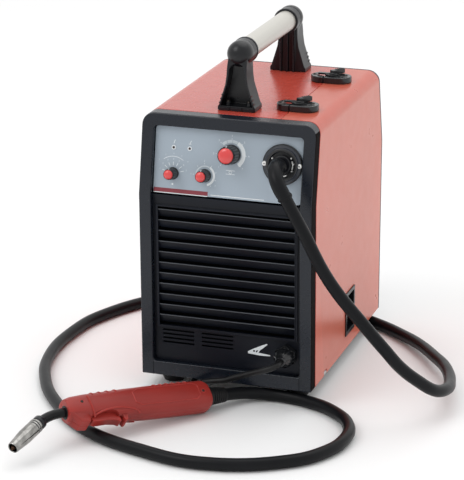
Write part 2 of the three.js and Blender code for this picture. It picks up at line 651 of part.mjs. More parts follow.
function fanFrame() {
  const half = FAN.size / 2;
  const shell = prismY(roundedRect(FAN.x - half, FAN.x + half, FAN.z - half, FAN.z + half, 8), 143, 168, 3);
  const bore = cylinder(FAN.bore, 140, 170, 'y', [FAN.x, 0, FAN.z], 36);
  const spider = union(
    cylinder(17, 165, 168, 'y', [FAN.x, 0, FAN.z], 20),
    box(FAN.x - half + 2, FAN.x + half - 2, 165.5, 168, FAN.z - 2.5, FAN.z + 2.5),
    box(FAN.x - 2.5, FAN.x + 2.5, 165.5, 168, FAN.z - half + 2, FAN.z + half - 2),
  );
  return union(cut(shell, bore), spider);
}

function fanRotor() {
  const pieces = [cylinder(18, 146, 164, 'y', [0, 0, 0], 20)];
  const bladeCount = 7;
  for (let index = 0; index < bladeCount; index += 1) {
    const blade = box(14, FAN.bore - 2, -1.2, 1.2, -8, 8);
    blade.rotateX(THREE.MathUtils.degToRad(55)).translate(0, 155, 0);
    blade.rotateY(index * Math.PI * 2 / bladeCount);
    pieces.push(blade);
  }
  return union(...pieces).translate(FAN.x, 0, FAN.z);
}

addPart('transformer', transformer(), STEEL);
addPart('heatsink', heatsink(), ALUMINIUM);
addPart('power_board', powerBoard(), BOARD_GREEN);
addPart('fan_frame', fanFrame(), BLACK_PLASTIC);
addPart('fan_rotor', fanRotor(), BLACK_PLASTIC);

// ---- Rear fittings ----
function powerSwitch() {
  const { x, z, width, height, axisY, tilt } = SWITCH;
  const half = height / 2;
  const rocker = prismX([
    [-5, 5 - half], [5, 1 - half], [8.5, 1 - half], [6, 0], [8.5, half - 1], [5, half - 1], [-5, half - 5],
  ], x - width / 2, x + width / 2);
  return rocker.rotateX(THREE.MathUtils.degToRad(-tilt)).translate(0, axisY, z);
}

function mainsGland() {
  const body = cylinder(8, 160, 176, 'y', [0, 0, 0], 20);
  const nut = cylinder(13, 173.3, 177.5, 'y', [0, 0, 0], 6);
  const dome = revolve([[0, 177], [11, 177], [10.5, 180], [6.5, 184], [0, 184]], 'y', [0, 0, 0], 20);
  return cut(union(body, nut, dome), cylinder(4.5, 150, 210, 'y', [0, 0, 0], 16)).translate(MAINS.x, 0, MAINS.z);
}

function gasInlet() {
  const profile = [[0, 160], [5, 160], [5, 173.3], [8, 173.3], [8, 176], [4.5, 176]];
  for (const barb of [177, 179.4, 181.8]) profile.push([4, barb], [5, barb], [4, barb + 2.2]);
  profile.push([0, 184]);
  return cut(revolve(profile, 'y', [0, 0, 0], 16), cylinder(2, 150, 210, 'y', [0, 0, 0], 12))
    .translate(GAS.x, 0, GAS.z);
}

addPart('power_switch', powerSwitch(), BLACK_PLASTIC);
addPart('mains_gland', mainsGland(), BLACK_PLASTIC);
addPart('gas_inlet', gasInlet(), BRASS);

// ---- Torch ----
// The torch's own frame: X runs from the rear of the handle to its front, Y points to the trigger side.
const torch = new THREE.Group();
torch.position.set(...TORCH.rear);
torch.rotation.order = 'ZYX';
torch.rotation.set(...[-TORCH.roll, -TORCH.rise, TORCH.heading].map(THREE.MathUtils.degToRad));
group.add(torch);

const TRIGGER = { from: 134.5, to: 175, pivotX: 171, pivotY: 12 };

// Handle sections along its length: [x, middle y, half width in y, half depth in z].
const HANDLE_SECTIONS = [
  [0, -0.5, 16.8, 15], [6, -0.5, 20, 17.4], [40, -0.5, 20.6, 17.9], [90, -0.5, 20.6, 17.9], [120, -0.8, 20, 17.4],
  [150, -1, 19, 16.6], [177, -1.4, 18, 15.6], [196, -2, 16, 14.2], [TORCH.length, -2, 13.8, 12.4],
];

// A closed skin over rounded cross-sections, with a flat cap at each end.
function loft(sections, sides, squareness) {
  const positions = [];
  const triangles = [];
  const round = (value) => Math.sign(value) * Math.abs(value) ** squareness;
  for (const [x, middle, halfY, halfZ] of sections) {
    for (let side = 0; side < sides; side += 1) {
      const angle = side / sides * Math.PI * 2;
      positions.push(x, middle + halfY * round(Math.cos(angle)), halfZ * round(Math.sin(angle)));
    }
  }
  for (let row = 0; row + 1 < sections.length; row += 1) {
    for (let side = 0; side < sides; side += 1) {
      const [a, b] = [row * sides + side, row * sides + (side + 1) % sides];
      triangles.push(a, b, a + sides, b, b + sides, a + sides);
    }
  }
  const last = (sections.length - 1) * sides;
  for (let side = 1; side + 1 < sides; side += 1) {
    triangles.push(0, side + 1, side, last, last + side, last + side + 1);
  }
  const geometry = new THREE.BufferGeometry();
  geometry.setAttribute('position', new THREE.Float32BufferAttribute(positions, 3));
  geometry.setIndex(triangles);
  return geometry;
}

// The front block and the hook that guard the trigger stand out on the trigger side.
function triggerGuard() {
  const bevel = 2.5;
  const block = new THREE.ExtrudeGeometry(shapeOf([
    [180, -10], [201.5, -10], [201.5, 6], [190.5, 19.5], [181.5, 20.5], [180, 18],
  ]), { depth: 18, bevelThickness: bevel, bevelSize: bevel, bevelSegments: 2 }).translate(0, 0, -9);
  const hook = prismZ([[119, 10], [132, 10], [132, 22], [130.5, 25], [127, 24.5], [124.5, 17]], -8.5, 8.5);
  return union(block, hook);
}

function torchShell(side) {
  const scoop = prismZ([
    [136, 30], [137.5, 17], [141, 13.5], [149, 11.2], [157, 10.5], [166, 11.5], [174, 14.5], [176.5, 18], [176.5, 30],
  ], -30, 30);
  const slot = box(TRIGGER.from - 2, TRIGGER.to + 1.5, 3, 40, -6.5, 6.5);
  const bore = cylinder(5.8, -5, TORCH.length + 5, 'x', [0, 0, 0], 16);
  const grip = cut(loft(HANDLE_SECTIONS, 24, 0.75), scoop);
  const body = cut(union(grip, triggerGuard()), slot, bore);
  return common(body, box(-10, 250, -60, 60, side > 0 ? 0.15 : -60, side > 0 ? 60 : -0.15));
}

function torchTrigger() {
  const { from, to, pivotY } = TRIGGER;
  const outline = [[from + 2, 8], [to - 3, 8], [to, pivotY], [to - 1, 19.5], [to - 6, 21.5], [from + 18, 20.8],
    [from + 7, 22.5], [from + 3, 25], [from + 0.5, 23.5]];
  return prismZ(outline, -6, 6);
}

// The neck bends from the handle axis to the nozzle axis in the XY plane.
const bend = THREE.MathUtils.degToRad(TORCH.bend);
const NECK_END = [TORCH.length + TORCH.neck[0], TORCH.neck[1], 0];

function swanNeck() {
  const route = [
    [TORCH.length + GAP, 0, 0], [TORCH.length + 9, 0.3, 0], [TORCH.length + 21, 2.5, 0], [TORCH.length + 33, 7, 0],
    NECK_END,
  ];
  return tube(route, 5.5, 8, 12);
}

const nozzleFrame = new THREE.Group();
nozzleFrame.position.set(...NECK_END);
nozzleFrame.rotation.z = bend;
torch.add(nozzleFrame);

function gasNozzle() {
  return revolve([
    [6.6, 0.5], [9.2, 0.5], [9.4, 2], [9.4, 28], [8.8, 33], [7.2, 51], [7, 52], [5.7, 52], [5.7, 48],
    [7.4, 29], [7.4, 6], [6.6, 6], [6.6, 0.5],
  ], 'x', [0, 0, 0], 24);
}

function contactTip() {
  const body = revolve([
    [0, 0.8], [5.8, 0.8], [5.8, 14], [4, 15], [4, 38], [3, 43], [0, 43],
  ], 'x', [0, 0, 0], 16);
  return cut(body, cylinder(0.7, 20, 60, 'x', [0, 0, 0], 8));
}

function torchBoot() {
  const profile = [[0, -28], [9.2, -28], [10.2, -20], [12.5, -8], [13.2, -GAP], [0, -GAP]];
  return revolve(profile, 'x', [0, 0, 0], 20);
}

addPart('torch_shell_left', torchShell(1), TORCH_RED, torch);
addPart('torch_shell_right', torchShell(-1), TORCH_RED, torch);
addPart('torch_trigger', torchTrigger(), TORCH_RED, torch);
addPart('torch_boot', torchBoot(), RUBBER, torch);
addPart('swan_neck', swanNeck(), BLACK_PLASTIC, torch);
addPart('gas_nozzle', gasNozzle(), CHROME, nozzleFrame);
addPart('contact_tip', contactTip(), COPPER, nozzleFrame);

// ---- Cables ----
function earthGland() {
  const face = faceY(EARTH.z) + PANEL_INSET;
  const body = cylinder(10.6, face - 4, face + 14, 'y', [0, 0, 0], 20);
  const nut = cylinder(15, face - 12, face - 0.8, 'y', [0, 0, 0], 6);
  const dome = revolve([
    [0, face - 32], [5.6, face - 32], [8, face - 27], [12, face - 20], [12.4, face - 11], [0, face - 11],
  ], 'y', [0, 0, 0], 20);
  return union(body, nut, dome).translate(EARTH.x, 0, EARTH.z);
}

function earthCoil() {
  const { x, y, radius, halfWidth, height } = COIL;
  const chamfer = 2.5;
  const [inner, outer] = [radius - halfWidth, radius + halfWidth];
  return revolve([
    [inner + chamfer, GAP], [outer - chamfer, GAP], [outer, GAP + chamfer], [outer, height - chamfer],
    [outer - chamfer, height], [inner + chamfer, height], [inner, height - chamfer], [inner, GAP + chamfer],
    [inner + chamfer, GAP],
  ], 'z', [x, y, 0], 28);
}

addPart('cable_sleeve', tube(SLEEVE_ROUTE, 10, 10, 12), RUBBER);
addPart('torch_cable', tube(TORCH_CABLE_ROUTE, TORCH_CABLE_RADIUS, 76, 8), RUBBER);
addPart('earth_gland', earthGland(), BLACK_PLASTIC);
addPart('earth_cable', tube(EARTH_FRONT_ROUTE, EARTH_CABLE_RADIUS, 46, 8), RUBBER);
addPart('earth_coil', earthCoil(), RUBBER);
addPart('earth_cable_tail', tube(EARTH_TAIL_ROUTE, EARTH_CABLE_RADIUS, 4, 8), RUBBER);

// ---- Earth clamp ----
// Two plier jaws lying on their side: handles at -X, jaws at +X, the pivot axis upright at the origin.
function clampJaw(side) {
  const outline = [
    [0, 0.5], [-12, 5.5], [-56, 20], [-60, 21], [-60, 28], [-54, 30], [-10, 14], [10, 11], [46, 9], [54, 5], [55, 0.5],
  ].map(([x, y]) => [x, y * side]);
  return prismZ(side > 0 ? outline.reverse() : outline, GAP + 0.2, CLAMP.width);
}

const clamp = new THREE.Group();
clamp.position.set(CLAMP.x, CLAMP.y, 0);
clamp.rotation.z = Math.PI;
group.add(clamp);
addPart('clamp_jaw_fixed', clampJaw(-1), BRASS, clamp);
addPart('clamp_jaw_moving', clampJaw(1), BRASS, clamp);

export default group;
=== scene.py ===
"""Looks, cords, lights and camera of a MIG welding machine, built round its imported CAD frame.

Shapes are given in millimetres in the part's frame: X to the right seen from the front, Y into the
machine, Z up. Cord routes, the coil and the place of the earth clamp are in metres.
"""

import json
from math import atan2, copysign, cos, radians, sin, tau

import bmesh
import bpy
from mathutils import Matrix, Vector

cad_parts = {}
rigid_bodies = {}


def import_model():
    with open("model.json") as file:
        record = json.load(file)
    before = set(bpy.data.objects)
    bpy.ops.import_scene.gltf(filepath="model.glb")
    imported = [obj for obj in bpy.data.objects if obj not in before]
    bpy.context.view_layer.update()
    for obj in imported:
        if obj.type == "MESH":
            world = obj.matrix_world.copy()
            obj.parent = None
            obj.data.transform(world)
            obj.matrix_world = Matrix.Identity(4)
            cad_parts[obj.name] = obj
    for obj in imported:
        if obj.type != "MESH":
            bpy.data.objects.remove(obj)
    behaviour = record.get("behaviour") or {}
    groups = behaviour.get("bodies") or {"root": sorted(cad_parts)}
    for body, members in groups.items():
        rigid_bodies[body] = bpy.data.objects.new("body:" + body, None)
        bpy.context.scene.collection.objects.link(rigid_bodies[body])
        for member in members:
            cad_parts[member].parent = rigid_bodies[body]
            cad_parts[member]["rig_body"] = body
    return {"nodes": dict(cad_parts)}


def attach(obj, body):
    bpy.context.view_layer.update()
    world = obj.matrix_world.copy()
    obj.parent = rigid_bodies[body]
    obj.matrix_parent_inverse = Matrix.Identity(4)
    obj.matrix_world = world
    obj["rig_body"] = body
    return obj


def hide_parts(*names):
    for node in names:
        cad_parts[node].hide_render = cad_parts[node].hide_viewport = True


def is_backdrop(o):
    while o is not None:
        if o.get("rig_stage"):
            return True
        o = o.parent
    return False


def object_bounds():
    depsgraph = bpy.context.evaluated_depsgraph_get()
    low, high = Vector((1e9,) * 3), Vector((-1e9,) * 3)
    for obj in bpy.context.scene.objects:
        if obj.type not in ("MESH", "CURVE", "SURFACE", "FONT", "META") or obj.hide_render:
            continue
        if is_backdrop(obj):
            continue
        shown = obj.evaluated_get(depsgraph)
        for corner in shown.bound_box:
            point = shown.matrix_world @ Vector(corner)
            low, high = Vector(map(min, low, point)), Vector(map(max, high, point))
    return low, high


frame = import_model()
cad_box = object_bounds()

MM = 0.001
IDENTITY = Matrix.Identity(4)
SHARP_ANGLE = radians(32)

# ---- Dimensions, millimetres ----
HALF_WIDTH = 115
REAR_Y = 173
KINK_Z = 266
FRONT_Y = {"bottom": -168, "kink": -173}
FOOT_HEIGHT = 20
TOP_Z = 370
PANEL_INSET = 8
PANEL_LEAN = atan2(18, 104)
LOUVRE = {"half": 92, "bottom": 88.5, "top": 250, "count": 11, "pitch": 14.36, "first_lip": 246.5}
HANDLE = {"x": -2, "mid_y": 8, "half_span": 112, "rise": 71.5, "knuckle": 16.8}
LATCH = {"x": 69.5, "stations": {"front": -85, "rear": 70}, "grip_angle": 55}
FLANGE = {"x": 72.4, "up": 52.1, "radius": 26, "bore": 17.2, "pins": 14.9}
KNOBS = {
    "voltage": {"x": 3.5, "up": 58.9, "radius": 12.0, "height": 24.0, "cap": 9.9},
    "wire_speed": {"x": -72.8, "up": 28.2, "radius": 7.4, "height": 19.0, "cap": 6.1},
    "mode": {"x": -30.0, "up": 29.0, "radius": 8.0, "height": 19.0, "cap": 6.6},
}
LAMPS = {"x": (-73.2, -51.8), "up": 61.4}
EARTH_GLAND = {"x": 81, "z": 67}
DOOR_PULL = {"y": 14, "z": 70}
FAN = {"x": -60, "z": 150}
SWITCH = {"x": 60, "z": 235, "half_width": 13, "half_height": 17.2, "rim": 2.8}
SPOOL = {"y": 50, "z": 140, "x0": 22, "x1": 76, "flange": 3.5, "bore": 25.5, "wound": 84, "rows": 34}
FEED = {"x": 72.4, "y": -85, "drive_z": 289.8, "pressure_z": 314.6, "plate_x": 62, "knob_y": -103}
TORCH_LENGTH = 204
TORCH_POSE = {"rear": (-8.9, -220.9, 19.7), "heading": 230.25, "rise": 6.3, "roll": 36}
NECK_END = (247.0, 12.8)
NECK_BEND = 33.3
# Printed marks and screw heads start a hair off the surface that they lie on.
SKIN = 0.05
PRINT = (SKIN, 0.18)
STRIPE = (SKIN, 0.15)

# ---- Cords and clamp, metres and turns ----
TORCH_CABLE = 0.016
EARTH_CABLE = 0.008
COIL = {
    "x": -0.081, "y": 0.280, "outer": 0.056, "pitch": 0.0081, "low": 0.0043, "high": 0.0124, "start": -10,
    "turns": 4 + 100 / 360, "layer": 2.0, "climb": 0.25, "points": 14,
}
CLAMP = {"x": -0.212, "y": 0.3035}

# ---- Cord routes, metres ----
SLEEVE_ROUTE = (
    (0.0724, -0.1756, 0.32), (0.0728, -0.186, 0.3226), (0.0745, -0.197, 0.321),
    (0.0785, -0.2065, 0.3135), (0.085, -0.212, 0.303), (0.0926, -0.213, 0.2915),
)
TORCH_CABLE_ROUTE = (
    (0.093, -0.21315, 0.2908), (0.117, -0.218, 0.2525), (0.151, -0.22, 0.194),
    (0.201, -0.216, 0.133), (0.2225, -0.21, 0.106), (0.2395, -0.198, 0.081), (0.2575, -0.182, 0.06),
    (0.274, -0.16, 0.041), (0.282, -0.13, 0.0316), (0.278, -0.088, 0.025), (0.259, -0.03, 0.0215),
    (0.2335, 0.015, 0.0176), (0.197, 0.07, 0.0125), (0.165, 0.105, 0.0093), (0.134, 0.131, 0.0083),
    (0.066, 0.169, 0.0083), (0.01, 0.19, 0.0083), (-0.045, 0.198, 0.0083), (-0.1, 0.194, 0.0083),
    (-0.15, 0.178, 0.0083), (-0.195, 0.149, 0.0083), (-0.257, 0.049, 0.0083),
    (-0.271, -0.02, 0.0083), (-0.266, -0.121, 0.0083), (-0.236, -0.206, 0.0083),
    (-0.193, -0.273, 0.0083), (-0.128, -0.341, 0.0083), (-0.039, -0.382, 0.0083),
    (0.045, -0.396, 0.0083), (0.143, -0.358, 0.0083), (0.176, -0.319, 0.0083),
    (0.189, -0.272, 0.0083), (0.181, -0.227, 0.0083), (0.152, -0.191, 0.0083),
    (0.113, -0.1695, 0.0083), (0.073, -0.1616, 0.0084), (0.0551, -0.1635, 0.0094),
    (0.0368, -0.1712, 0.0116), (0.0216, -0.1843, 0.0144), (0.0091, -0.1993, 0.0166),
)
EARTH_FRONT_ROUTE = (
    (0.081, -0.1934, 0.067), (0.081, -0.199, 0.0669), (0.077, -0.207, 0.0652),
    (0.0685, -0.2105, 0.062), (0.058, -0.2085, 0.0576), (0.045, -0.201, 0.051),
    (0.0315, -0.1935, 0.0435), (0.018, -0.1885, 0.037), (0.0053, -0.186, 0.031),
    (-0.007, -0.185, 0.028), (-0.018, -0.184, 0.0255), (-0.032, -0.18, 0.02),
    (-0.044, -0.17, 0.0135), (-0.052, -0.156, 0.008), (-0.0555, -0.14, 0.005),
    (-0.056, -0.12, 0.0044), (-0.056, 0.0, 0.0044), (-0.056, 0.1, 0.0044), (-0.055, 0.14, 0.0049),
    (-0.052, 0.158, 0.0076), (-0.048, 0.174, 0.013), (-0.044, 0.189, 0.019), (-0.04, 0.201, 0.021),
    (-0.036, 0.213, 0.0186), (-0.0325, 0.226, 0.01), (-0.031, 0.239, 0.0054),
)
EARTH_TAIL_ROUTE = (
    (-0.123, 0.328, 0.0123), (-0.132, 0.328, 0.0121), (-0.142, 0.328, 0.0116),
    (-0.1516, 0.328, 0.0114),
)


# ---- Frames ----
def turned(degrees, axis):
    return Matrix.Rotation(radians(degrees), 4, axis)


def placed(origin, across, normal):
    """A frame at origin whose X is across and whose Z is normal."""
    x, z = Vector(across).normalized(), Vector(normal).normalized()
    y = z.cross(x)
    matrix = Matrix((x, y, z)).transposed().to_4x4()
    matrix.translation = Vector(origin)
    return matrix


def lower_face_y(height):
    """Y of the lower front face at a height."""
    share = (KINK_Z - height) / (KINK_Z - FOOT_HEIGHT)
    return FRONT_Y["kink"] + (FRONT_Y["bottom"] - FRONT_Y["kink"]) * share


PANEL = placed(
    (0, FRONT_Y["kink"] + PANEL_INSET, KINK_Z), (1, 0, 0), (0, -cos(PANEL_LEAN), sin(PANEL_LEAN)),
)
LOWER_LEAN = atan2(FRONT_Y["bottom"] - FRONT_Y["kink"], KINK_Z - FOOT_HEIGHT)
LOWER_NORMAL = (0, -cos(LOWER_LEAN), -sin(LOWER_LEAN))
LOWER = placed((0, lower_face_y(0) + PANEL_INSET, 0), (1, 0, 0), LOWER_NORMAL)
ALONG_X = turned(90, "Y")
ALONG_Y = turned(-90, "X")
TORCH = (
    Matrix.Translation(TORCH_POSE["rear"])
    @ turned(TORCH_POSE["heading"], "Z")
    @ turned(-TORCH_POSE["rise"], "Y")
    @ turned(-TORCH_POSE["roll"], "X")
)
NOZZLE = TORCH @ Matrix.Translation((*NECK_END, 0)) @ turned(NECK_BEND, "Z") @ ALONG_X


# ---- Outlines ----
def polar(reach, degrees, centre=(0, 0)):
    """A point at a distance and a direction from a centre."""
    turn = radians(degrees)
    return (centre[0] + reach * cos(turn), centre[1] + reach * sin(turn))


def rectangle(x0, x1, y0, y1):
    return [(x0, y0), (x1, y0), (x1, y1), (x0, y1)]


def disc(x, y, radius, sides=24):
    return [polar(radius, 360 * step / sides, (x, y)) for step in range(sides)]


def band(x, y, inner, outer, start, end, steps):
    """A piece of a flat ring between two angles in degrees."""
    angles = [start + (end - start) * step / steps for step in range(steps + 1)]
    rim = [polar(outer, angle, (x, y)) for angle in angles]
    return rim + [polar(inner, angle, (x, y)) for angle in reversed(angles)]


def stroke(start, end, width):
    """A straight line with a width."""
    a, b = Vector(start), Vector(end)
    side = (b - a).normalized().orthogonal() * width / 2
    return [tuple(a - side), tuple(b - side), tuple(b + side), tuple(a + side)]


def smooth_route(points, per_span):
    """Points on a smooth curve through the given ones, with per_span of them for each stretch."""
    p = [Vector(point) for point in points]
    p = [2 * p[0] - p[1], *p, 2 * p[-1] - p[-2]]
    route = []
    for a, b, c, d in zip(p, p[1:], p[2:], p[3:]):
        for step in range(per_span):
            t = step / per_span
            route.append(0.5 * (2 * b + (c - a) * t + (2 * a - 5 * b + 4 * c - d) * t**2
                                + (3 * b - a - 3 * c + d) * t**3))
    return [*route, p[-2]]


# ---- Pieces ----
class Piece:
    """Collects solids, in millimetres in the frame `at`, and turns them into one object."""

    def __init__(self, at=IDENTITY):
        self.mesh = bmesh.new()
        self.at = at

    def points(self, points):
        return [self.mesh.verts.new(self.at @ Vector(point) * MM) for point in points]

    def stack(self, rings, closed=False):
        """Skins rings of equally many points, and caps the two ends unless it closes on itself."""
        rows = [self.points(ring) for ring in rings]
        pairs = list(zip(rows, rows[1:] + rows[:1])) if closed else list(zip(rows, rows[1:]))
        for low, high in pairs:
            for index in range(len(low)):
                after = (index + 1) % len(low)
                self.mesh.faces.new((low[index], low[after], high[after], high[index]))
        if not closed:
            self.mesh.faces.new(list(reversed(rows[0])))
            self.mesh.faces.new(rows[-1])

    def prism(self, outline, low, high):
        self.stack([[(x, y, height) for x, y in outline] for height in (low, high)])

    def prisms(self, outlines, low, high):
        for outline in outlines:
            self.prism(outline, low, high)

    def lathe(self, profile, sides, centre=(0, 0), closed=False):
        """Turns [radius, height] pairs about the frame's Z. A closed profile makes a ring."""
        rings = []
        for radius, height in profile:
            rings.append([(*point, height) for point in disc(*centre, max(radius, 0.02), sides)])
        self.stack(rings, closed)

    def ring(self, inner, outer, low, high, sides):
        """A ring with a rectangular section."""
        self.lathe([[inner, low], [outer, low], [outer, high], [inner, high]], sides, closed=True)

    def fluted(self, profile, flutes):
        """A lathe whose (radius, height, flute depth) rows carry grooves along the axis."""
        sides = flutes * 6
        rings = []
        for radius, height, depth in profile:
            ring = []
            for step in range(sides):
                turn = tau * step / sides
                reach = radius - depth * (0.5 + 0.5 * cos(flutes * turn))
                ring.append((reach * cos(turn), reach * sin(turn), height))
            rings.append(ring)
        self.stack(rings)

    def sweep(self, route, radius, sides):
        """A tube along a route. radius is a number, or a function of the share of the way."""
        route = [Vector(point) for point in route]
        neighbours = zip([route[0], *route], [*route[1:], route[-1]])
        tangents = [(after - before).normalized() for before, after in neighbours]
        side = tangents[0].orthogonal().normalized()
        rings = []
        for index, (point, tangent) in enumerate(zip(route, tangents)):
            side = (side - tangent * side.dot(tangent)).normalized()
            other = tangent.cross(side)
            reach = radius(index / (len(route) - 1)) if callable(radius) else radius
            turns = [tau * step / sides for step in range(sides)]
            rings.append([point + reach * (cos(turn) * side + sin(turn) * other) for turn in turns])
        self.stack(rings)

    def number(self, text, x, y, size):
        """A dial number as thin flat letters."""
        curve = bpy.data.curves.new("number", "FONT")
        curve.body = str(text)
        curve.size = size
        curve.align_x = curve.align_y = "CENTER"
        curve.extrude = 0.06
        curve.resolution_u = 3
        letters = bpy.data.objects.new("number", curve)
        mesh = bpy.data.meshes.new_from_object(letters)
        mesh.transform(Matrix.Scale(MM, 4) @ self.at @ Matrix.Translation((x, y, 0.1)))
        self.mesh.from_mesh(mesh)
        bpy.data.objects.remove(letters)

    def finish(self, name, look, body="machine", bevel=0.0, replaces=(), record_slot=None):
        """Turns what was collected into an object that rides on a body. look is a material or a slot."""
        bmesh.ops.recalc_face_normals(self.mesh, faces=self.mesh.faces)
        data = bpy.data.meshes.new(name)
        self.mesh.to_mesh(data)
        self.mesh.free()
        dress(name, data, LOOKS.get(look, look), body, bevel, replaces, record_slot)

    def stand_in(self, node, name, slot, body="machine", look=None):
        """Finishes the piece in place of a CAD node, in its slot's look unless another is given."""
        self.finish(name, look or slot, body, replaces=(node,), record_slot=slot)


def add_object(name, data):
    """An object of this data, linked to the scene."""
    item = bpy.data.objects.new(name, data)
    bpy.context.scene.collection.objects.link(item)
    return item


def dress(name, data, look, body, bevel, replaces, record_slot):
    """Makes an object of a mesh, with its edges rounded, its material and its body."""
    piece = add_object(name, data)
    data.materials.clear()
    data.materials.append(look)
    data.shade_smooth()
    data.set_sharp_from_angle(angle=SHARP_ANGLE)
    if bevel:
        edge = piece.modifiers.new("rounded edges", "BEVEL")
        edge.width = bevel * MM
        edge.segments = 2
        edge.limit_method = "ANGLE"
        edge.angle_limit = SHARP_ANGLE
        edge.use_clamp_overlap = False
        edge.harden_normals = True
    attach(piece, body)
    if replaces:
        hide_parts(*replaces)


def refined(node, look, bevel, record_slot):
    """A copy of a CAD node with its triangles merged and its edges rounded, shown in its place.

    Points closer together than a quarter of the edge radius are merged, so that no rounding folds over.
    """
    source = frame["nodes"][node]
    mesh = bmesh.new()
    mesh.from_mesh(source.data)
    bmesh.ops.remove_doubles(mesh, verts=mesh.verts, dist=max(0.02, 0.25 * bevel) * MM)
    bmesh.ops.dissolve_degenerate(mesh, edges=mesh.edges, dist=0.01 * MM)
    bmesh.ops.dissolve_limit(mesh, angle_limit=radians(0.6), verts=mesh.verts, edges=mesh.edges)
    data = bpy.data.meshes.new(node + "_finished")
    mesh.to_mesh(data)
    mesh.free()
    dress(node + "_finished", data, look, source["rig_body"], bevel, (node,), record_slot)


# ---- Materials ----
def add_node(tree, kind, inputs=None, **settings):
    node = tree.nodes.new(kind)
    for name, value in settings.items():
        setattr(node, name, value)
    for name, value in (inputs or {}).items():
        if isinstance(value, bpy.types.NodeSocket):
            tree.links.new(value, node.inputs[name])
        else:
            node.inputs[name].default_value = value
    return node


def shade(colour, factor):
    return (*(min(1.0, channel * factor) for channel in colour), 1.0)


def object_place(tree, stretch=(1, 1, 1)):
    """Object coordinates, stretched along one axis for a brushed or drawn finish."""
    coordinates = add_node(tree, "ShaderNodeTexCoord")
    inputs = {"Vector": coordinates.outputs["Object"], "Scale": stretch}
    return add_node(tree, "ShaderNodeMapping", inputs).outputs[0]


def surface(name, colour, roughness, metallic=0.0, mottle=(0.1, 35), grain=(900, 0.02), edge=0.0,
            stretch=(1, 1, 1), coat=0.0, specular=0.5, haze=0.0):
    """A material with mottled colour, uneven roughness, a fine grain in its bump and paler worn edges.

    mottle is its strength and its cells in a metre, grain its cells in a metre and its relief in millimetres,
    and haze a faint warm glow at grazing angles.
    """
    spread = 0.06
    strength, mottle_scale = mottle
    grain_scale, depth = grain
    material = bpy.data.materials.new(name)
    material.use_nodes = True
    tree = material.node_tree
    shader = tree.nodes["Principled BSDF"]
    settings = {
        "Metallic": metallic, "Specular IOR Level": specular, "Coat Weight": coat, "Coat Roughness": 0.18,
        "Sheen Weight": haze, "Sheen Roughness": 0.5, "Sheen Tint": (1.0, 0.5, 0.33, 1.0),
    }
    for setting, value in settings.items():
        shader.inputs[setting].default_value = value
    place = object_place(tree, stretch)

    cloud = add_node(tree, "ShaderNodeTexNoise", {"Vector": place, "Scale": mottle_scale, "Detail": 5.0})
    tone = add_node(tree, "ShaderNodeMix", {"Factor": cloud.outputs["Fac"]}, data_type="RGBA")
    tone.inputs["A"].default_value = shade(colour, 1 - strength)
    tone.inputs["B"].default_value = shade(colour, 1 + strength)
    result = tone.outputs["Result"]
    if edge:
        bulge = add_node(tree, "ShaderNodeNewGeometry").outputs["Pointiness"]
        wear = add_node(tree, "ShaderNodeMapRange", {
            "Value": bulge, "From Min": 0.51, "From Max": 0.6, "To Max": edge,
        })
        worn = add_node(tree, "ShaderNodeMix", {"Factor": wear.outputs[0], "A": result}, data_type="RGBA")
        worn.inputs["B"].default_value = shade(colour, 3.0)
        result = worn.outputs["Result"]
    tree.links.new(result, shader.inputs["Base Color"])

    smudge = add_node(tree, "ShaderNodeTexNoise", {"Vector": place, "Scale": mottle_scale * 3, "Detail": 3.0})
    gloss = add_node(tree, "ShaderNodeMapRange", {
        "Value": smudge.outputs["Fac"], "To Min": roughness - spread, "To Max": roughness + spread,
    })
    tree.links.new(gloss.outputs[0], shader.inputs["Roughness"])

    texture = add_node(tree, "ShaderNodeTexNoise", {"Vector": place, "Scale": grain_scale, "Detail": 2.0})
    bump = add_node(tree, "ShaderNodeBump", {"Height": texture.outputs["Fac"], "Distance": depth * MM})
    tree.links.new(bump.outputs[0], shader.inputs["Normal"])
    return material


def add_relief(material, height, depth):
    """Lays a second relief, in millimetres, under a material's grain."""
    tree = material.node_tree
    fine = next(node for node in tree.nodes if node.type == "BUMP")
    bump = add_node(tree, "ShaderNodeBump", {"Height": height, "Distance": depth * MM})
    tree.links.new(bump.outputs[0], fine.inputs["Normal"])
    return material


def hammered(material, pitch, depth):
    """Shallow round dimples, as in a hammered enamel."""
    tree = material.node_tree
    cells = add_node(tree, "ShaderNodeTexVoronoi", {
        "Vector": object_place(tree), "Scale": 1 / (pitch * MM), "Smoothness": 0.8,
    }, feature="SMOOTH_F1")
    return add_relief(material, cells.outputs["Distance"], depth)


def banded(material, axis, pitch, depth):
    """Parallel ridges across an axis, as in a laminated core or a knurl."""
    tree = material.node_tree
    waves = add_node(tree, "ShaderNodeTexWave", {
        "Vector": object_place(tree), "Scale": 1 / (pitch * MM) / 20 * tau,
    }, bands_direction=axis)
    return add_relief(material, waves.outputs["Fac"], depth)


def ink(name, colour):
    return surface(name, colour, 0.5, mottle=(0.06, 300), grain=(1500, 0.004))


def red_enamel(name, colour, roughness, haze):
    """Enamel with shallow dimples, worn at its edges."""
    return hammered(surface(
        name, colour, roughness, mottle=(0.07, 18), grain=(1100, 0.03), edge=0.25, coat=0.25, haze=haze,
    ), 1.6, 0.05)


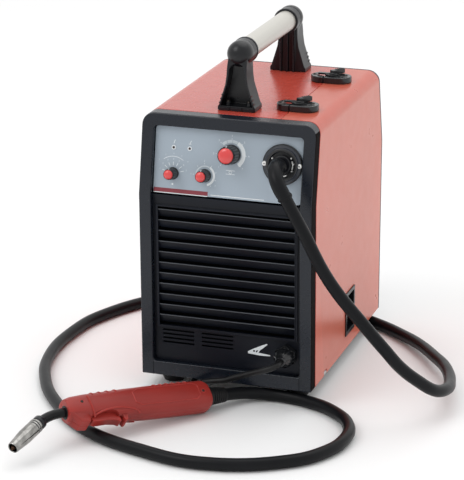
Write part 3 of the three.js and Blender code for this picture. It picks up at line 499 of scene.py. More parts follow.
LOOKS = {
    "cover_red": red_enamel("red_enamel", (0.38, 0.024, 0.010), 0.3, 0.44),
    "plastic_black": surface(
        "black_plastic", (0.004, 0.0045, 0.0062), 0.3, mottle=(0.16, 26), grain=(1300, 0.035), edge=0.45,
        specular=0.38,
    ),
    "grille_dark": surface(
        "grille_plastic", (0.0036, 0.0048, 0.0085), 0.36, mottle=(0.16, 24), grain=(1300, 0.03), edge=0.5,
        specular=0.22,
    ),
    "panel_grey": surface("panel_film", (0.34, 0.40, 0.46), 0.42, mottle=(0.035, 12), grain=(1500, 0.012)),
    "knob_black": surface("knob_plastic", (0.012, 0.012, 0.013), 0.3, mottle=(0.12, 90), grain=(900, 0.01)),
    "handle_satin": surface(
        "satin_tube", (0.56, 0.545, 0.5), 0.36, metallic=0.3, mottle=(0.05, 45), grain=(260, 0.012),
        stretch=(4, 0.08, 4),
    ),
    "rubber_black": surface(
        "rubber", (0.006, 0.006, 0.0066), 0.42, mottle=(0.25, 30), grain=(1000, 0.03), specular=0.3,
    ),
    "torch_red": surface(
        "torch_plastic", (0.25, 0.021, 0.016), 0.36, mottle=(0.14, 30), grain=(1200, 0.03), edge=0.35,
        specular=0.36,
    ),
    "nozzle_chrome": surface(
        "nozzle_chrome", (0.3, 0.293, 0.28), 0.1, metallic=1.0, mottle=(0.9, 110), grain=(600, 0.006),
    ),
    "tip_copper": surface("tip_copper", (0.66, 0.36, 0.24), 0.32, metallic=1.0, mottle=(0.2, 120)),
    "clamp_brass": surface("satin_brass", (0.5, 0.34, 0.12), 0.33, metallic=1.0, mottle=(0.14, 70)),
    "steel_bare": surface(
        "bare_steel", (0.42, 0.43, 0.44), 0.34, metallic=1.0, mottle=(0.12, 60), grain=(700, 0.012),
    ),
    "zinc_sheet": surface(
        "zinc_sheet", (0.5, 0.51, 0.5), 0.42, metallic=0.85, mottle=(0.14, 22), grain=(500, 0.01),
    ),
    "board_green": surface("circuit_board", (0.02, 0.1, 0.045), 0.4, mottle=(0.25, 160)),
    "heatsink_aluminium": surface(
        "extruded_aluminium", (0.58, 0.59, 0.6), 0.36, metallic=1.0, mottle=(0.08, 35), grain=(400, 0.02),
        stretch=(4, 0.1, 4),
    ),
    "spool_plastic": surface("spool_plastic", (0.03, 0.034, 0.042), 0.4, mottle=(0.14, 30)),
    "wire_copper": surface("copper_wire", (0.6, 0.29, 0.15), 0.3, metallic=1.0, mottle=(0.14, 140)),
}
LAMINATED = banded(
    surface("laminated_steel", (0.2, 0.2, 0.205), 0.5, metallic=0.8, mottle=(0.2, 60)), "X", 1.6, 0.25,
)
LEATHERED = hammered(surface(
    "cable_rubber", (0.005, 0.0054, 0.0066), 0.36, mottle=(0.35, 26), grain=(700, 0.04), specular=0.16,
), 3.0, 0.03)
# A very dark matte felt. Behind the grille it paints the shade inside the louvres. It also draws the dark
# seam lines and the pivot of the clamp symbol.
SHADE_AND_DARK_MATTE = surface(
    "shade_and_dark_matte", (0.0035, 0.0035, 0.004), 0.8, mottle=(0.4, 300), grain=(1800, 0.1), specular=0.1,
)
# A paler plastic that paints the thin highlights along the louvre lips and along the sill's edge.
PAINTED_HIGHLIGHT_PLASTIC = surface("painted_highlight_plastic", (0.07, 0.078, 0.09), 0.4, mottle=(0.2, 60), grain=(1200, 0.02))
WHITE_INK = ink("white_ink", (0.72, 0.76, 0.78))
PALE_INK = ink("pale_ink", (0.56, 0.62, 0.66))
BURGUNDY_INK = ink("burgundy_ink", (0.22, 0.032, 0.045))
CAP_RED = surface("knob_cap", (0.66, 0.03, 0.03), 0.24, mottle=(0.08, 120), grain=(900, 0.008), coat=1.0)
LENS_DARK = surface("lamp_lens", (0.03, 0.012, 0.012), 0.14, mottle=(0.2, 400), grain=(900, 0.005))
# Near-white and only half metallic, so that the zinc screw heads carry a painted highlight.
SCREW_PAINTED_HIGHLIGHT = surface("zinc_screw_painted_highlight", (0.86, 0.86, 0.84), 0.3, metallic=0.5, mottle=(0.08, 200))
DARK_SCREW = surface("black_screw", (0.05, 0.045, 0.04), 0.35, metallic=0.8, mottle=(0.2, 200))
NECK_BLACK = surface(
    "neck_sleeve", (0.004, 0.004, 0.0046), 0.3, mottle=(0.25, 60), grain=(500, 0.01), specular=0.2,
)
SATIN_BLACK = surface(
    "bezel_plastic", (0.0045, 0.0065, 0.011), 0.28, mottle=(0.14, 26), grain=(1300, 0.03), edge=0.5,
    specular=0.42,
)
# A dull, faintly red black for the bezel's outer sides that paints the shade along them and a faint
# reflection of the red cover.
FLANK_SHADE_BLACK = surface(
    "bezel_flank_painted_shade", (0.007, 0.005, 0.005), 0.75, mottle=(0.2, 30), grain=(1300, 0.03), specular=0.03,
)
GLOSS_BLACK = surface(
    "gloss_plastic", (0.005, 0.0055, 0.0065), 0.2, mottle=(0.16, 40), edge=0.4, specular=0.55,
)
# A near-white steel that paints the glints in the torch socket and brightens its contact pins.
GLINT_STEEL = surface("painted_glint_steel", (0.9, 0.9, 0.88), 0.3, metallic=0.6, mottle=(0.1, 200))
RING_GREY = surface(
    "socket_plastic", (0.022, 0.026, 0.035), 0.3, mottle=(0.14, 50), grain=(1200, 0.02), edge=0.5,
)
# A darker, less hazy copy of the same red enamel for the top cover, which paints shade on the top that the
# side door does not get.
TOP_SHADED_RED = red_enamel("red_enamel_top_shaded", (0.36, 0.016, 0.010), 0.27, 0.2)

# CAD nodes that don't take their slot's own look.
NODE_LOOKS = {
    "top_cover": TOP_SHADED_RED, "front_bezel": SATIN_BLACK, "rear_panel": SATIN_BLACK, "torch_flange": RING_GREY,
    "earth_gland": GLOSS_BLACK,
    **{f"latch_{part}_{end}": GLOSS_BLACK
       for part in ("base", "keeper", "lever") for end in ("front", "rear")},
}


# ---- Camera ----
def make_camera():
    data = bpy.data.cameras.new("camera")
    data.lens = 172.0
    data.sensor_width = 36
    data.clip_start = 0.1
    data.clip_end = 60
    camera = add_object("camera", data)
    camera.location = (0.8736, -2.7901, 1.1182)
    camera.rotation_euler = (radians(90 - 18.108), 0, radians(18.254))
    bpy.context.scene.camera = camera


# ---- Cords ----
def cable(name, route, diameter, look, replaces):
    """A cable as one open curve whose own line is its centreline."""
    curve = bpy.data.curves.new(name, "CURVE")
    curve.dimensions = "3D"
    curve.bevel_depth = diameter / 2
    curve.bevel_resolution = 5
    curve.resolution_u = 10
    curve.use_fill_caps = True
    line = curve.splines.new("BEZIER")
    line.bezier_points.add(len(route) - 1)
    for bezier, point in zip(line.bezier_points, route):
        bezier.co = point
        bezier.handle_left_type = bezier.handle_right_type = "AUTO"
    curve.materials.append(look)
    piece = add_object(name, curve)
    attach(piece, "machine")
    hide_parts(*replaces)
    return piece


def coil_route():
    """The stored turns of the earth lead: a flat layer wound inwards, then one on it wound outwards."""
    layer, climb, pitch = COIL["layer"], COIL["climb"], COIL["pitch"]
    route = []
    count = round(COIL["turns"] * COIL["points"])
    for step in range(count + 1):
        turn = COIL["turns"] * step / count
        reach = COIL["outer"] - pitch * min(turn, layer) + pitch * max(turn - layer - climb, 0.0)
        lift = min(max((turn - layer) / climb, 0.0), 1.0)
        angle = radians(COIL["start"]) + tau * turn
        height = COIL["low"] + (COIL["high"] - COIL["low"]) * lift * lift * (3 - 2 * lift)
        route.append((COIL["x"] + reach * cos(angle), COIL["y"] + reach * sin(angle), height))
    return route


# ---- CAD nodes that only need finishing: slot, edge radius in mm, nodes ----
FINISHED = (
    ("cover_red", 0.45, ("top_cover", "side_door")),
    ("plastic_black", 1.6, ("front_bezel",)),
    ("plastic_black", 0.8, (
        "handle_bracket_front", "handle_bracket_rear", "rear_panel", "earth_gland", "mains_gland",
    )),
    ("plastic_black", 1.0, (
        "latch_keeper_front", "latch_keeper_rear", "latch_base_front", "latch_base_rear",
    )),
    ("plastic_black", 0.5, (
        "latch_lever_front", "latch_lever_rear", "door_pull", "torch_flange", "torch_connector", "spool_hub",
        "pressure_arm", "fan_frame", "fan_rotor", "power_switch",
    )),
    ("grille_dark", 0.35, ("front_grille",)),
    ("panel_grey", 0.3, ("control_panel",)),
    ("handle_satin", 0.4, ("handle_tube",)),
    ("rubber_black", 0.8, [f"foot_{end}_{side}" for end in ("front", "rear") for side in ("left", "right")]),
    ("torch_red", 0.5, ("torch_shell_left", "torch_shell_right")),
    ("torch_red", 0.8, ("torch_trigger",)),
    ("clamp_brass", 0.6, ("clamp_jaw_fixed", "clamp_jaw_moving")),
    ("clamp_brass", 0.2, ("gas_inlet",)),
    ("steel_bare", 0.5, ("feed_motor",)),
    ("zinc_sheet", 0.3, ("base_pan", "divider_panel", "feeder_plate")),
    ("board_green", 0.3, ("control_board", "power_board")),
    ("heatsink_aluminium", 0.3, ("heatsink",)),
    ("spool_plastic", 0.5, ("wire_spool",)),
)


def finish_cad_nodes():
    for record_slot, bevel, nodes in FINISHED:
        for node in nodes:
            refined(node, NODE_LOOKS.get(node, LOOKS[record_slot]), bevel, record_slot)
    refined("transformer", LAMINATED, 0.5, "steel_bare")
    darken_flanks(bpy.data.objects["front_bezel_finished"])


def darken_flanks(bezel):
    """Gives the bezel's outer sides a dull, faintly red black that paints the shade along them and a faint
    reflection of the red cover.
    """
    bezel.data.materials.append(FLANK_SHADE_BLACK)
    for face in bezel.data.polygons:
        if abs(face.normal.x) > 0.9 and abs(face.center.x) > (HALF_WIDTH - 2) * MM:
            face.material_index = 1


# ---- Screws ----
def pan_head(piece, x, y, height, radius):
    """A low domed screw head."""
    piece.lathe([
        [radius, height], [radius, height + 0.3 * radius], [0.8 * radius, height + 0.55 * radius],
        [0.4 * radius, height + 0.65 * radius], [0, height + 0.67 * radius],
    ], 20, (x, y))


def cross_slot(piece, x, y, height, radius):
    """The cross slot on a screw head, drawn as a dark solid that paints the shade inside it."""
    reach, half = 0.45 * radius, 0.09 * radius
    top = height + 0.69 * radius
    piece.prism(rectangle(x - reach, x + reach, y - half, y + half), top - 0.35 * radius, top)
    piece.prism(rectangle(x - half, x + half, y - reach, y + reach), top - 0.35 * radius, top + 0.01)


def screws(name, spots, radius, look, body="machine"):
    """Screws at (frame, x, y, height) spots, with the shade in their cross slots painted as a second dark
    piece.
    """
    heads, slot_shades = Piece(), Piece()
    for at, x, y, height in spots:
        heads.at = slot_shades.at = at
        pan_head(heads, x, y, height, radius)
        cross_slot(slot_shades, x, y, height, radius)
    heads.finish(name, look, body)
    slot_shades.finish(name + "_slot_shade", "grille_dark", body)


# ---- Case ----
def on_rear(x, z):
    """A frame on the rear panel, facing backwards."""
    return placed((x, REAR_Y, z), (-1, 0, 0), (0, 1, 0))


def case_screws():
    left = placed((-HALF_WIDTH, 0, 0), (0, -1, 0), (-1, 0, 0))
    spots = [(left, y, 34, SKIN) for y in (-130, 0, 130)]
    spots += [(on_rear(0, 0), x, z, SKIN) for x in (-98, 98) for z in (36, 240)]
    screws("case_screws", spots, 4.2, DARK_SCREW)


def fan_guard():
    """Raised wire-like rings and spokes over the rear fan slots."""
    guard = Piece(on_rear(FAN["x"], FAN["z"]))
    for radius in (51, 36, 20):
        guard.ring(radius, radius + 1.4, 0.1, 1.2, 72)
    for angle in (45, 135, 225, 315):
        guard.prism(stroke((0, 0), polar(52, angle), 2.2), 0.1, 1.4)
    guard.finish("fan_guard", "plastic_black", bevel=0.3)


def switch_frame():
    """The snap-in frame round the rear rocker switch, with its on and off marks."""
    half_width, half_height, rim = SWITCH["half_width"], SWITCH["half_height"], SWITCH["rim"]
    at = on_rear(SWITCH["x"], SWITCH["z"])
    border = Piece(at)
    border.prisms([
        rectangle(-half_width, half_width, half_height - rim, half_height),
        rectangle(-half_width, half_width, -half_height, rim - half_height),
        rectangle(half_width - rim, half_width, rim - half_height, half_height - rim),
        rectangle(-half_width, rim - half_width, rim - half_height, half_height - rim),
    ], SKIN, 1.4)
    border.finish("switch_frame", GLOSS_BLACK, bevel=0.3)
    marks = Piece(at)
    marks.prisms([rectangle(-0.5, 0.5, 19.5, 23.5), band(0, -21.5, 1.6, 2.5, 0, 350, 20)], *PRINT)
    marks.finish("switch_marks", WHITE_INK)


def pull_grip():
    """Finger ribs in the door's recess."""
    grip = Piece(placed((HALF_WIDTH, DOOR_PULL["y"], DOOR_PULL["z"]), (0, 1, 0), (1, 0, 0)))
    grip.prisms([rectangle(-15, 15, low, low + 1.6) for low in range(-19, 18, 9)], -11.2, -9.8)
    grip.finish("door_pull_ribs", "plastic_black", "door", bevel=0.3)


# ---- Handle and latches ----
def bracket_frames():
    """The name and the frame of each handle bracket, with Z up and Y towards the middle of the tube."""
    for end, sign in (("front", -1), ("rear", 1)):
        origin = (HANDLE["x"], HANDLE["mid_y"] + sign * HANDLE["half_span"], TOP_Z)
        yield end, placed(origin, (-sign, 0, 0), (0, 0, 1))


def handle_details():
    """Short ribs up the sides and along the foot of each bracket, and its two screws."""
    for end, at in bracket_frames():
        ribs = Piece(at)
        for side in (-1, 1):
            for row in range(3):
                low = 9 + row * 5.2
                reach = 22.6 - row * 1.6
                inner, outer = sorted((side * (reach - 2.2), side * (reach + 0.3)))
                ribs.prism(rectangle(inner, outer, -14.9, -8.5), low, low + 2.3)
        ribs.prisms([rectangle(x - 7, x + 7, -15.2, -13.2) for x in (-16, 0, 16)], 0.3, 4.4)
        ribs.finish(f"handle_bracket_{end}_ribs", "plastic_black", bevel=0.35)
    spots = [(at, x, -4, 10.05) for _, at in bracket_frames() for x in (-14, 14)]
    screws("handle_screws", spots, 3.0, DARK_SCREW)


def handle_knuckles():
    """The round knuckle on each bracket and the ring where the tube enters it."""
    radius = HANDLE["knuckle"]
    arc = [radians(angle) for angle in range(0, 91, 9)]
    dome = [[radius * sin(angle), 2.2 - radius * cos(angle)] for angle in arc]
    for end, at in bracket_frames():
        knuckle = Piece(at @ Matrix.Translation((0, 0, HANDLE["rise"])) @ ALONG_Y)
        knuckle.lathe(dome + [[radius, 8], [16.55, 9]], 56)
        knuckle.lathe([
            [14.4, 22], [radius, 22], [17.0, 22.6], [17.0, 25.2], [16.5, 26], [14.4, 26],
        ], 56, closed=True)
        knuckle.finish(f"handle_knuckle_{end}", "plastic_black")


def latch_details():
    """A domed pivot and grip ridges on each lever, ribs on each keeper, and the screws of both plates."""
    ray = Vector(polar(1, LATCH["grip_angle"]))
    across = Vector((-ray.y, ray.x)) * 3
    for end, y in LATCH["stations"].items():
        at = Matrix.Translation((0, y, TOP_Z))
        lever = Piece(at)
        lever.lathe([[3.9, 10.3], [3.9, 11.3], [3.2, 11.9], [0, 12.0]], 24, (LATCH["x"], 0))
        for step in range(4):
            middle = Vector((LATCH["x"], 0)) + ray * (9 + step * 3.2)
            lever.prism(stroke(middle - across, middle + across, 1.1), 14.9, 15.6)
        lever.finish(f"latch_lever_{end}_grip", GLOSS_BLACK, f"latch_{end}", bevel=0.2)
        keeper = Piece(at)
        keeper.prisms([rectangle(52, 58, low, low + 1.4) for low in (-9.2, -7)], 7.9, 8.8)
        keeper.finish(f"latch_keeper_{end}_ribs", GLOSS_BLACK, bevel=0.2)
    for part, body, x, side in (("keeper", "machine", 46.5, 0), ("base", "door", 88.5, 4.5)):
        spots = [(Matrix.Translation((0, y, TOP_Z)), x, side, 8.0) for y in LATCH["stations"].values()]
        screws(f"latch_{part}_screws", spots, 2.4, DARK_SCREW, body)


# ---- Front ----
def grille_border():
    """The thin raised lines beside the louvres and over them."""
    half, low, high = LOUVRE["half"], LOUVRE["bottom"], LOUVRE["top"]
    border = Piece(LOWER)
    border.prisms([rectangle(x - 0.7, x + 0.7, low - 2, high + 2) for x in (-half, half)], 1.9, 3.0)
    border.prism(rectangle(-half - 1, half + 1, high + 1, high + 2.2), 1.9, 2.8)
    border.finish("grille_border", "grille_dark", bevel=0.25)


def grille_lips():
    """The fine raised lip along the top edge of each louvre, in a paler plastic that paints the highlight
    along it.
    """
    lips = Piece()
    reach = LOUVRE["half"] - 0.7
    for index in range(LOUVRE["count"]):
        height = LOUVRE["first_lip"] - index * LOUVRE["pitch"]
        face = lower_face_y(height) + PANEL_INSET - 1.5
        lips.at = placed((0, face, height), (0, 1, 0), (1, 0, 0))
        lips.prism(rectangle(-0.4, 0.4, -0.6, 0.3), -reach, reach)
    lips.finish("grille_lips", PAINTED_HIGHLIGHT_PLASTIC, bevel=0.15)


def grille_filter():
    """A dark sheet with raised cross bars behind the louvres and slots, which paints the shade inside the
    grille.
    """
    shade_sheet = Piece(LOWER)
    low, high, half, depth, bars = 45, 258, 96, 11.5, 13
    shade_sheet.prism(rectangle(-half, half, low, high), -depth - 1, -depth)
    for step in range(bars):
        x = -half + 2 * half / (bars - 1) * step
        shade_sheet.prism(rectangle(x - 0.6, x + 0.6, low, high), -depth - 0.2, -depth + 0.8)
    shade_sheet.finish("grille_filter", SHADE_AND_DARK_MATTE)


def sill_seams():
    """The joints where the lower lip meets the sides of the bezel, and a fine pale line over the lower lip
    that paints the highlight along its edge.
    """
    height, half = 30, 99
    sill = placed((0, lower_face_y(height), height), (1, 0, 0), LOWER_NORMAL)
    seams, edge = Piece(sill), Piece(sill)
    seams.prisms([rectangle(x - 0.35, x + 0.35, -9.6, 8.6) for x in (-half, half)], 0.0, 0.12)
    seams.finish("sill_seams", SHADE_AND_DARK_MATTE)
    # A paler strip over the lower lip paints the highlight along its edge.
    edge.prism(rectangle(0.4 - half, half - 0.4, 8.3, 8.9), -0.4, 0.25)
    edge.finish("sill_edge_highlight", PAINTED_HIGHLIGHT_PLASTIC, bevel=0.1)


def clamp_symbol():
    """A plain clamp symbol beside the earth gland. Each shape stands a hair higher than the one before."""
    hinge = (36.4, 66.0)
    shapes = (
        [(28, 64.6), (30, 63), (38, 66.3), (46.5, 69.3), (54.6, 76.6), (53.2, 77.6), (44, 73.2), (36, 69.2)],
        [(28, 64.6), (28.4, 61.8), (46, 60.4), (58, 61), (58, 62.6), (48, 63.6), (40, 64.3)],
        stroke((40.5, 63.2), (45.5, 71.2), 2.0),
        disc(*hinge, 2.6, 16),
    )
    symbol = Piece(LOWER)
    for step, shape in enumerate(shapes):
        symbol.prism(shape, SKIN, 0.2 + 0.01 * step)
    symbol.finish("clamp_symbol", WHITE_INK)
    pivot = Piece(LOWER)
    pivot.prism(disc(*hinge, 1.3, 16), 0.24, 0.3)
    pivot.finish("clamp_symbol_pivot", SHADE_AND_DARK_MATTE)


def dial_ring(piece, knob, inner, outer, start, end, segments=1):
    """A printed dial ring cut into segments, with a gap of two degrees between them."""
    width = (end - start) / segments
    steps = max(5, round(width / 6))
    for index in range(segments):
        first = start + index * width
        piece.prism(band(knob["x"], knob["up"], inner, outer, first + 1, first + width - 1, steps), *PRINT)


def dial_ticks(piece, knob, inner, outer, angles, width):
    centre = (knob["x"], knob["up"])
    for angle in angles:
        piece.prism(stroke(polar(inner, angle, centre), polar(outer, angle, centre), width), *PRINT)


def dial_numbers(piece, knob, reach, angles, size):
    for number, angle in enumerate(angles, 1):
        piece.number(number, *polar(reach, angle, (knob["x"], knob["up"])), size)


def panel_signs(piece):
    """A wire sign under the large dial, a dot under the small one and strokes over the lamps."""
    middle = KNOBS["voltage"]["x"]
    signs = [stroke((middle - 6, up), (middle + 6, up), 0.7) for up in (33.5, 38.2)]
    signs += [band(middle, 35.9, 1.5, 2.1, 0, 350, 16), disc(KNOBS["wire_speed"]["x"], 14.4, 1.3)]
    signs += [stroke((x - 0.2, 66.4), (x + 1.6, 71.6), 0.8) for x in LAMPS["x"]]
    signs.append(stroke((-53.6, 67.2), (-50, 67.2), 0.7))
    piece.prisms(signs, *PRINT)


def panel_print():
    """Dial rings, ticks, numbers, signs and stripes on the leaning panel."""
    white, pale, burgundy = Piece(PANEL), Piece(PANEL), Piece(PANEL)
    large, small, middle = KNOBS["voltage"], KNOBS["wire_speed"], KNOBS["mode"]
    dial_ring(white, large, 13.9, 19.0, -55, 62)
    dial_ring(pale, large, 14.6, 18.4, 62, 136, 3)
    dial_ticks(white, large, 18.8, 20.4, range(-48, 229, 46), 0.7)
    dial_numbers(white, large, 23.4, range(228, -49, -46), 3.4)
    dial_ring(white, middle, 10.8, 13.6, -75, 62)
    dial_ring(pale, middle, 11.2, 12.8, 62, 180)
    dial_ticks(white, middle, 14.2, 16, (-58, -20, 18, 56, 94, 132, 178), 0.6)
    dial_numbers(white, middle, 18.6, (178, 94, -40), 3.0)
    dial_ticks(white, small, 10.2, 14.8, range(15, 166, 25), 0.8)
    dial_ring(white, small, 21.4, 22.1, 52, 128)
    dial_numbers(white, small, 18.2, range(165, 14, -25), 3.0)
    dial_numbers(white, small, 25.3, range(140, 39, -25), 2.6)
    panel_signs(white)
    white.prisms([rectangle(-97.6, -25, 2.2, 3.2), rectangle(-21, 50, 4.4, 5.4)], *STRIPE)
    burgundy.prism(rectangle(-97.6, -25, 3.4, 8.6), *STRIPE)
    white.finish("panel_print_white", WHITE_INK)
    pale.finish("panel_print_pale", PALE_INK)
    burgundy.finish("panel_stripe", BURGUNDY_INK)


def lamps():
    """Two small lamps in white collars."""
    collars, lenses = Piece(PANEL), Piece(PANEL)
    for x in LAMPS["x"]:
        centre = (x, LAMPS["up"])
        collars.lathe([[1.7, 0.05], [3, 0.05], [3, 0.5], [2.6, 0.9], [1.7, 0.9]], 28, centre, closed=True)
        lenses.lathe([[1.65, 0.05], [1.65, 0.9], [1.2, 1.5], [0, 1.8]], 20, centre)
    collars.finish("lamp_collars", WHITE_INK)
    lenses.finish("lamp_lenses", LENS_DARK)


def dial_knob(name, knob):
    """A fluted black knob with a red cap and a pointer line."""
    node, body = f"knob_{name}", f"dial_{name}"
    radius, height, cap = knob["radius"], knob["height"], knob["cap"]
    at = PANEL @ Matrix.Translation((knob["x"], knob["up"], 0))
    shaft = Piece(at)
    shaft.fluted([
        (radius + 0.55, 0.55, 0), (radius + 0.55, 2.2, 0), (radius + 0.1, 3, 0), (radius, 3.4, 0.5),
        (radius - 0.2, height - 3.4, 0.6), (radius - 0.7, height - 1.6, 0.35),
        (radius - 1.6, height - 0.5, 0), (cap + 0.3, height - 0.15, 0), (cap + 0.1, height - 1.2, 0),
    ], 18)
    shaft.stand_in(node, f"{node}_grip", "knob_black", body)
    lid = Piece(at)
    lid.lathe([
        [cap, height - 1.6], [cap, height - 0.4], [cap * 0.94, height + 0.5], [cap * 0.8, height + 1.4],
        [cap * 0.6, height + 2.1], [cap * 0.35, height + 2.6], [0, height + 2.8],
    ], 40)
    lid.finish(f"{node}_cap", CAP_RED, body)
    pointer = Piece(at)
    pointer.prism(rectangle(-0.45, 0.45, radius - 2.2, radius + 0.1), height - 5.0, height - 0.9)
    pointer.finish(f"{node}_pointer", WHITE_INK, body)


def socket_rim():
    """The raised rims of the torch socket and its two screws."""
    x, up, radius, bore = (FLANGE[key] for key in ("x", "up", "radius", "bore"))
    rim = Piece(PANEL)
    rim.lathe([
        [radius - 1.9, 4.9], [radius - 0.9, 5.25], [radius - 0.1, 4.5], [radius - 0.1, 4.0],
        [radius - 1.9, 4.0],
    ], 64, (x, up), closed=True)
    rim.lathe([
        [bore + 0.2, 8.1], [bore + 2.6, 8.3], [bore + 3.2, 8.0], [bore + 3.2, 7.2], [bore + 0.2, 7.2],
    ], 64, (x, up), closed=True)
    rim.finish("socket_rim", "knob_black")
    screws("socket_screws", [(PANEL, x - 23.2, up, 4.9), (PANEL, x + 22.6, up, 4.9)], 3.1, SCREW_PAINTED_HIGHLIGHT)


def socket_contacts():
    """Bright arcs that paint the glints on the torch socket's bore, contact pins inside it in the same
    near-white steel, and the notch in its flange.
    """
    x, up, pins = FLANGE["x"], FLANGE["up"], FLANGE["pins"]
    glints_and_pins = Piece(PANEL)
    for start, end in ((-20, 24), (-80, -62)):
        glints_and_pins.prism(band(x, up, pins - 1.2, pins, start, end, 8), 4.2, 7.9)
    for angle in (-28, 8, 38, 150, 205):
        glints_and_pins.lathe([[1.1, 4], [1.1, 7.2], [0.7, 7.8], [0, 7.9]], 14, polar(pins, angle, (x, up)))
    glints_and_pins.finish("socket_contacts", GLINT_STEEL)
    notch = Piece(PANEL)
    notch.prism(rectangle(x + 9.8, x + 12.0, up - 20.5, up - 15.5), 4.9, 5.12)
    notch.finish("socket_notch", "panel_grey", bevel=0.1)


def gland_details():
    """Grip ribs on the earth gland's dome nut."""
    x, z = EARTH_GLAND["x"], EARTH_GLAND["z"]
    gland = Piece(placed((x, lower_face_y(z) + PANEL_INSET, z), (1, 0, 0), (0, -1, 0)))
    gland.fluted([
        (11.2, 11.4, 0), (12.9, 12.2, 0.7), (12.8, 18.5, 0.8), (10.6, 22.5, 0.5), (9.2, 25, 0),
        (7.6, 27.4, 0),
    ], 16)
    gland.lathe([[4.3, 27], [7.2, 27], [6.9, 30.5], [5.9, 32.2], [4.3, 32.2]], 32, closed=True)
    gland.finish("earth_gland_nut", GLOSS_BLACK)


# ---- Wire bay ----
SPOOL_AXIS = Matrix.Translation((0, SPOOL["y"], SPOOL["z"])) @ ALONG_X


def wound_wire():
    """The winding, with one ridge for each turn of wire across it."""
    low, high = SPOOL["x0"] + SPOOL["flange"], SPOOL["x1"] - SPOOL["flange"]
    inner, outer, groove = SPOOL["bore"] + 4.5, SPOOL["wound"], 0.7
    pitch = (high - low) / SPOOL["rows"]
    profile = [[inner, low]]
    for row in range(SPOOL["rows"]):
        start = low + row * pitch
        profile += [[outer - groove, start], [outer, start + pitch / 2]]
    profile += [[outer - groove, high], [inner, high]]
    winding = Piece(SPOOL_AXIS)
    winding.lathe(profile, 72, closed=True)
    winding.stand_in("wire_winding", "wound_wire", "wire_copper", "spool")


def spool_spokes():
    """Spokes and rings on the spool's outer flange, and the nut that holds it on its hub."""
    face = SPOOL["x1"]
    spokes = Piece(SPOOL_AXIS)
    for index in range(8):
        angle = 360 * index / 8
        spokes.prism(stroke(polar(31, angle), polar(95, angle), 3.2), face + 0.02, face + 1.6)
    for radius in (28.5, 62, 95):
        spokes.ring(radius, radius + 2.6, face + 0.02, face + 1.8, 72)
    spokes.finish("spool_spokes", "spool_plastic", "spool", bevel=0.3)
    nut = Piece(SPOOL_AXIS)
    nut.fluted([(13, face + 8, 0), (13.2, face + 9, 1), (13, face + 15, 1), (11, face + 16.5, 0)], 10)
    nut.finish("spool_hub_nut", "plastic_black", bevel=0.3)


def feed_rolls():
    """The knurled drive roll on its shaft and the grooved pressure roll."""
    x, y = FEED["x"], FEED["y"]
    drive = Piece(Matrix.Translation((0, y, FEED["drive_z"])) @ ALONG_X)
    drive.fluted([
        (13.6, x - 5, 0), (14, x - 4.6, 0.3), (14, x - 1.4, 0.3), (13.1, x - 0.5, 0), (13.1, x + 0.5, 0),
        (14, x + 1.4, 0.3), (14, x + 4.6, 0.3), (13.6, x + 5, 0), (6, x + 5.05, 0), (5.8, x + 8, 0),
    ], 36)
    drive.fluted([(5.9, FEED["plate_x"] + 0.5, 0), (5.9, x - 5, 0)], 6)
    drive.stand_in("drive_roll", "drive_roll_finished", "steel_bare", "feed_roll")
    pressure = Piece(Matrix.Translation((0, y, FEED["pressure_z"])) @ ALONG_X)
    pressure.lathe([
        [9.5, x - 4.8], [10, x - 4.3], [10, x - 1.2], [9.4, x - 0.6],
        [9.4, x + 0.6], [10, x + 1.2], [10, x + 4.3], [9.5, x + 4.8],
    ], 48)
    pressure.stand_in("pressure_roll", "pressure_roll_finished", "steel_bare", "arm_roll")


def feeder_details():
    """The fluted tension knob and the screws of the motor behind the plate."""
    knob = Piece(Matrix.Translation((FEED["x"], FEED["knob_y"], 0)))
    knob.lathe([[4.9, 333.45], [4.9, 335.2]], 24)
    knob.fluted([(6.4, 335, 0), (7.2, 336, 0.8), (7.3, 341, 0.8), (6.2, 342.4, 0.3), (4, 343, 0)], 12)
    knob.stand_in("tension_knob", "tension_knob_finished", "plastic_black", "tension")
    plate = placed((FEED["plate_x"], FEED["y"], FEED["drive_z"]), (0, 1, 0), (1, 0, 0))
    spots = [(plate, y, z, SKIN) for y, z in ((-31, -16), (32, -16), (-31, 42))]
    screws("feeder_screws", spots, 2.8, SCREW_PAINTED_HIGHLIGHT)


# ---- Torch ----
# Sections along the handle: [x, middle y, half width in y, half depth in z].
HANDLE_SECTIONS = (
    (0, -0.5, 16.8, 15), (6, -0.5, 20, 17.4), (40, -0.5, 20.6, 17.9), (90, -0.5, 20.6, 17.9),
    (120, -0.8, 20, 17.4), (150, -1, 19, 16.6), (177, -1.4, 18, 15.6), (196, -2, 16, 14.2),
    (TORCH_LENGTH, -2, 13.8, 12.4),
)
SQUARENESS = 0.75


def handle_section(x):
    """Middle, half width and half depth of the torch handle at x."""
    for before, after in zip(HANDLE_SECTIONS, HANDLE_SECTIONS[1:]):
        if x <= after[0]:
            share = (x - before[0]) / (after[0] - before[0])
            return [b + (a - b) * share for b, a in zip(before[1:], after[1:])]
    return list(HANDLE_SECTIONS[-1][1:])


def on_handle(x, angle, lift=0.0):
    """A point on the handle's skin at an angle round it, raised by lift."""
    middle, half_y, half_z = handle_section(x)
    cosine, sine = polar(1, angle)
    y = middle + (half_y + lift) * copysign(abs(cosine) ** SQUARENESS, cosine)
    return (x, y, (half_z + lift) * copysign(abs(sine) ** SQUARENESS, sine))


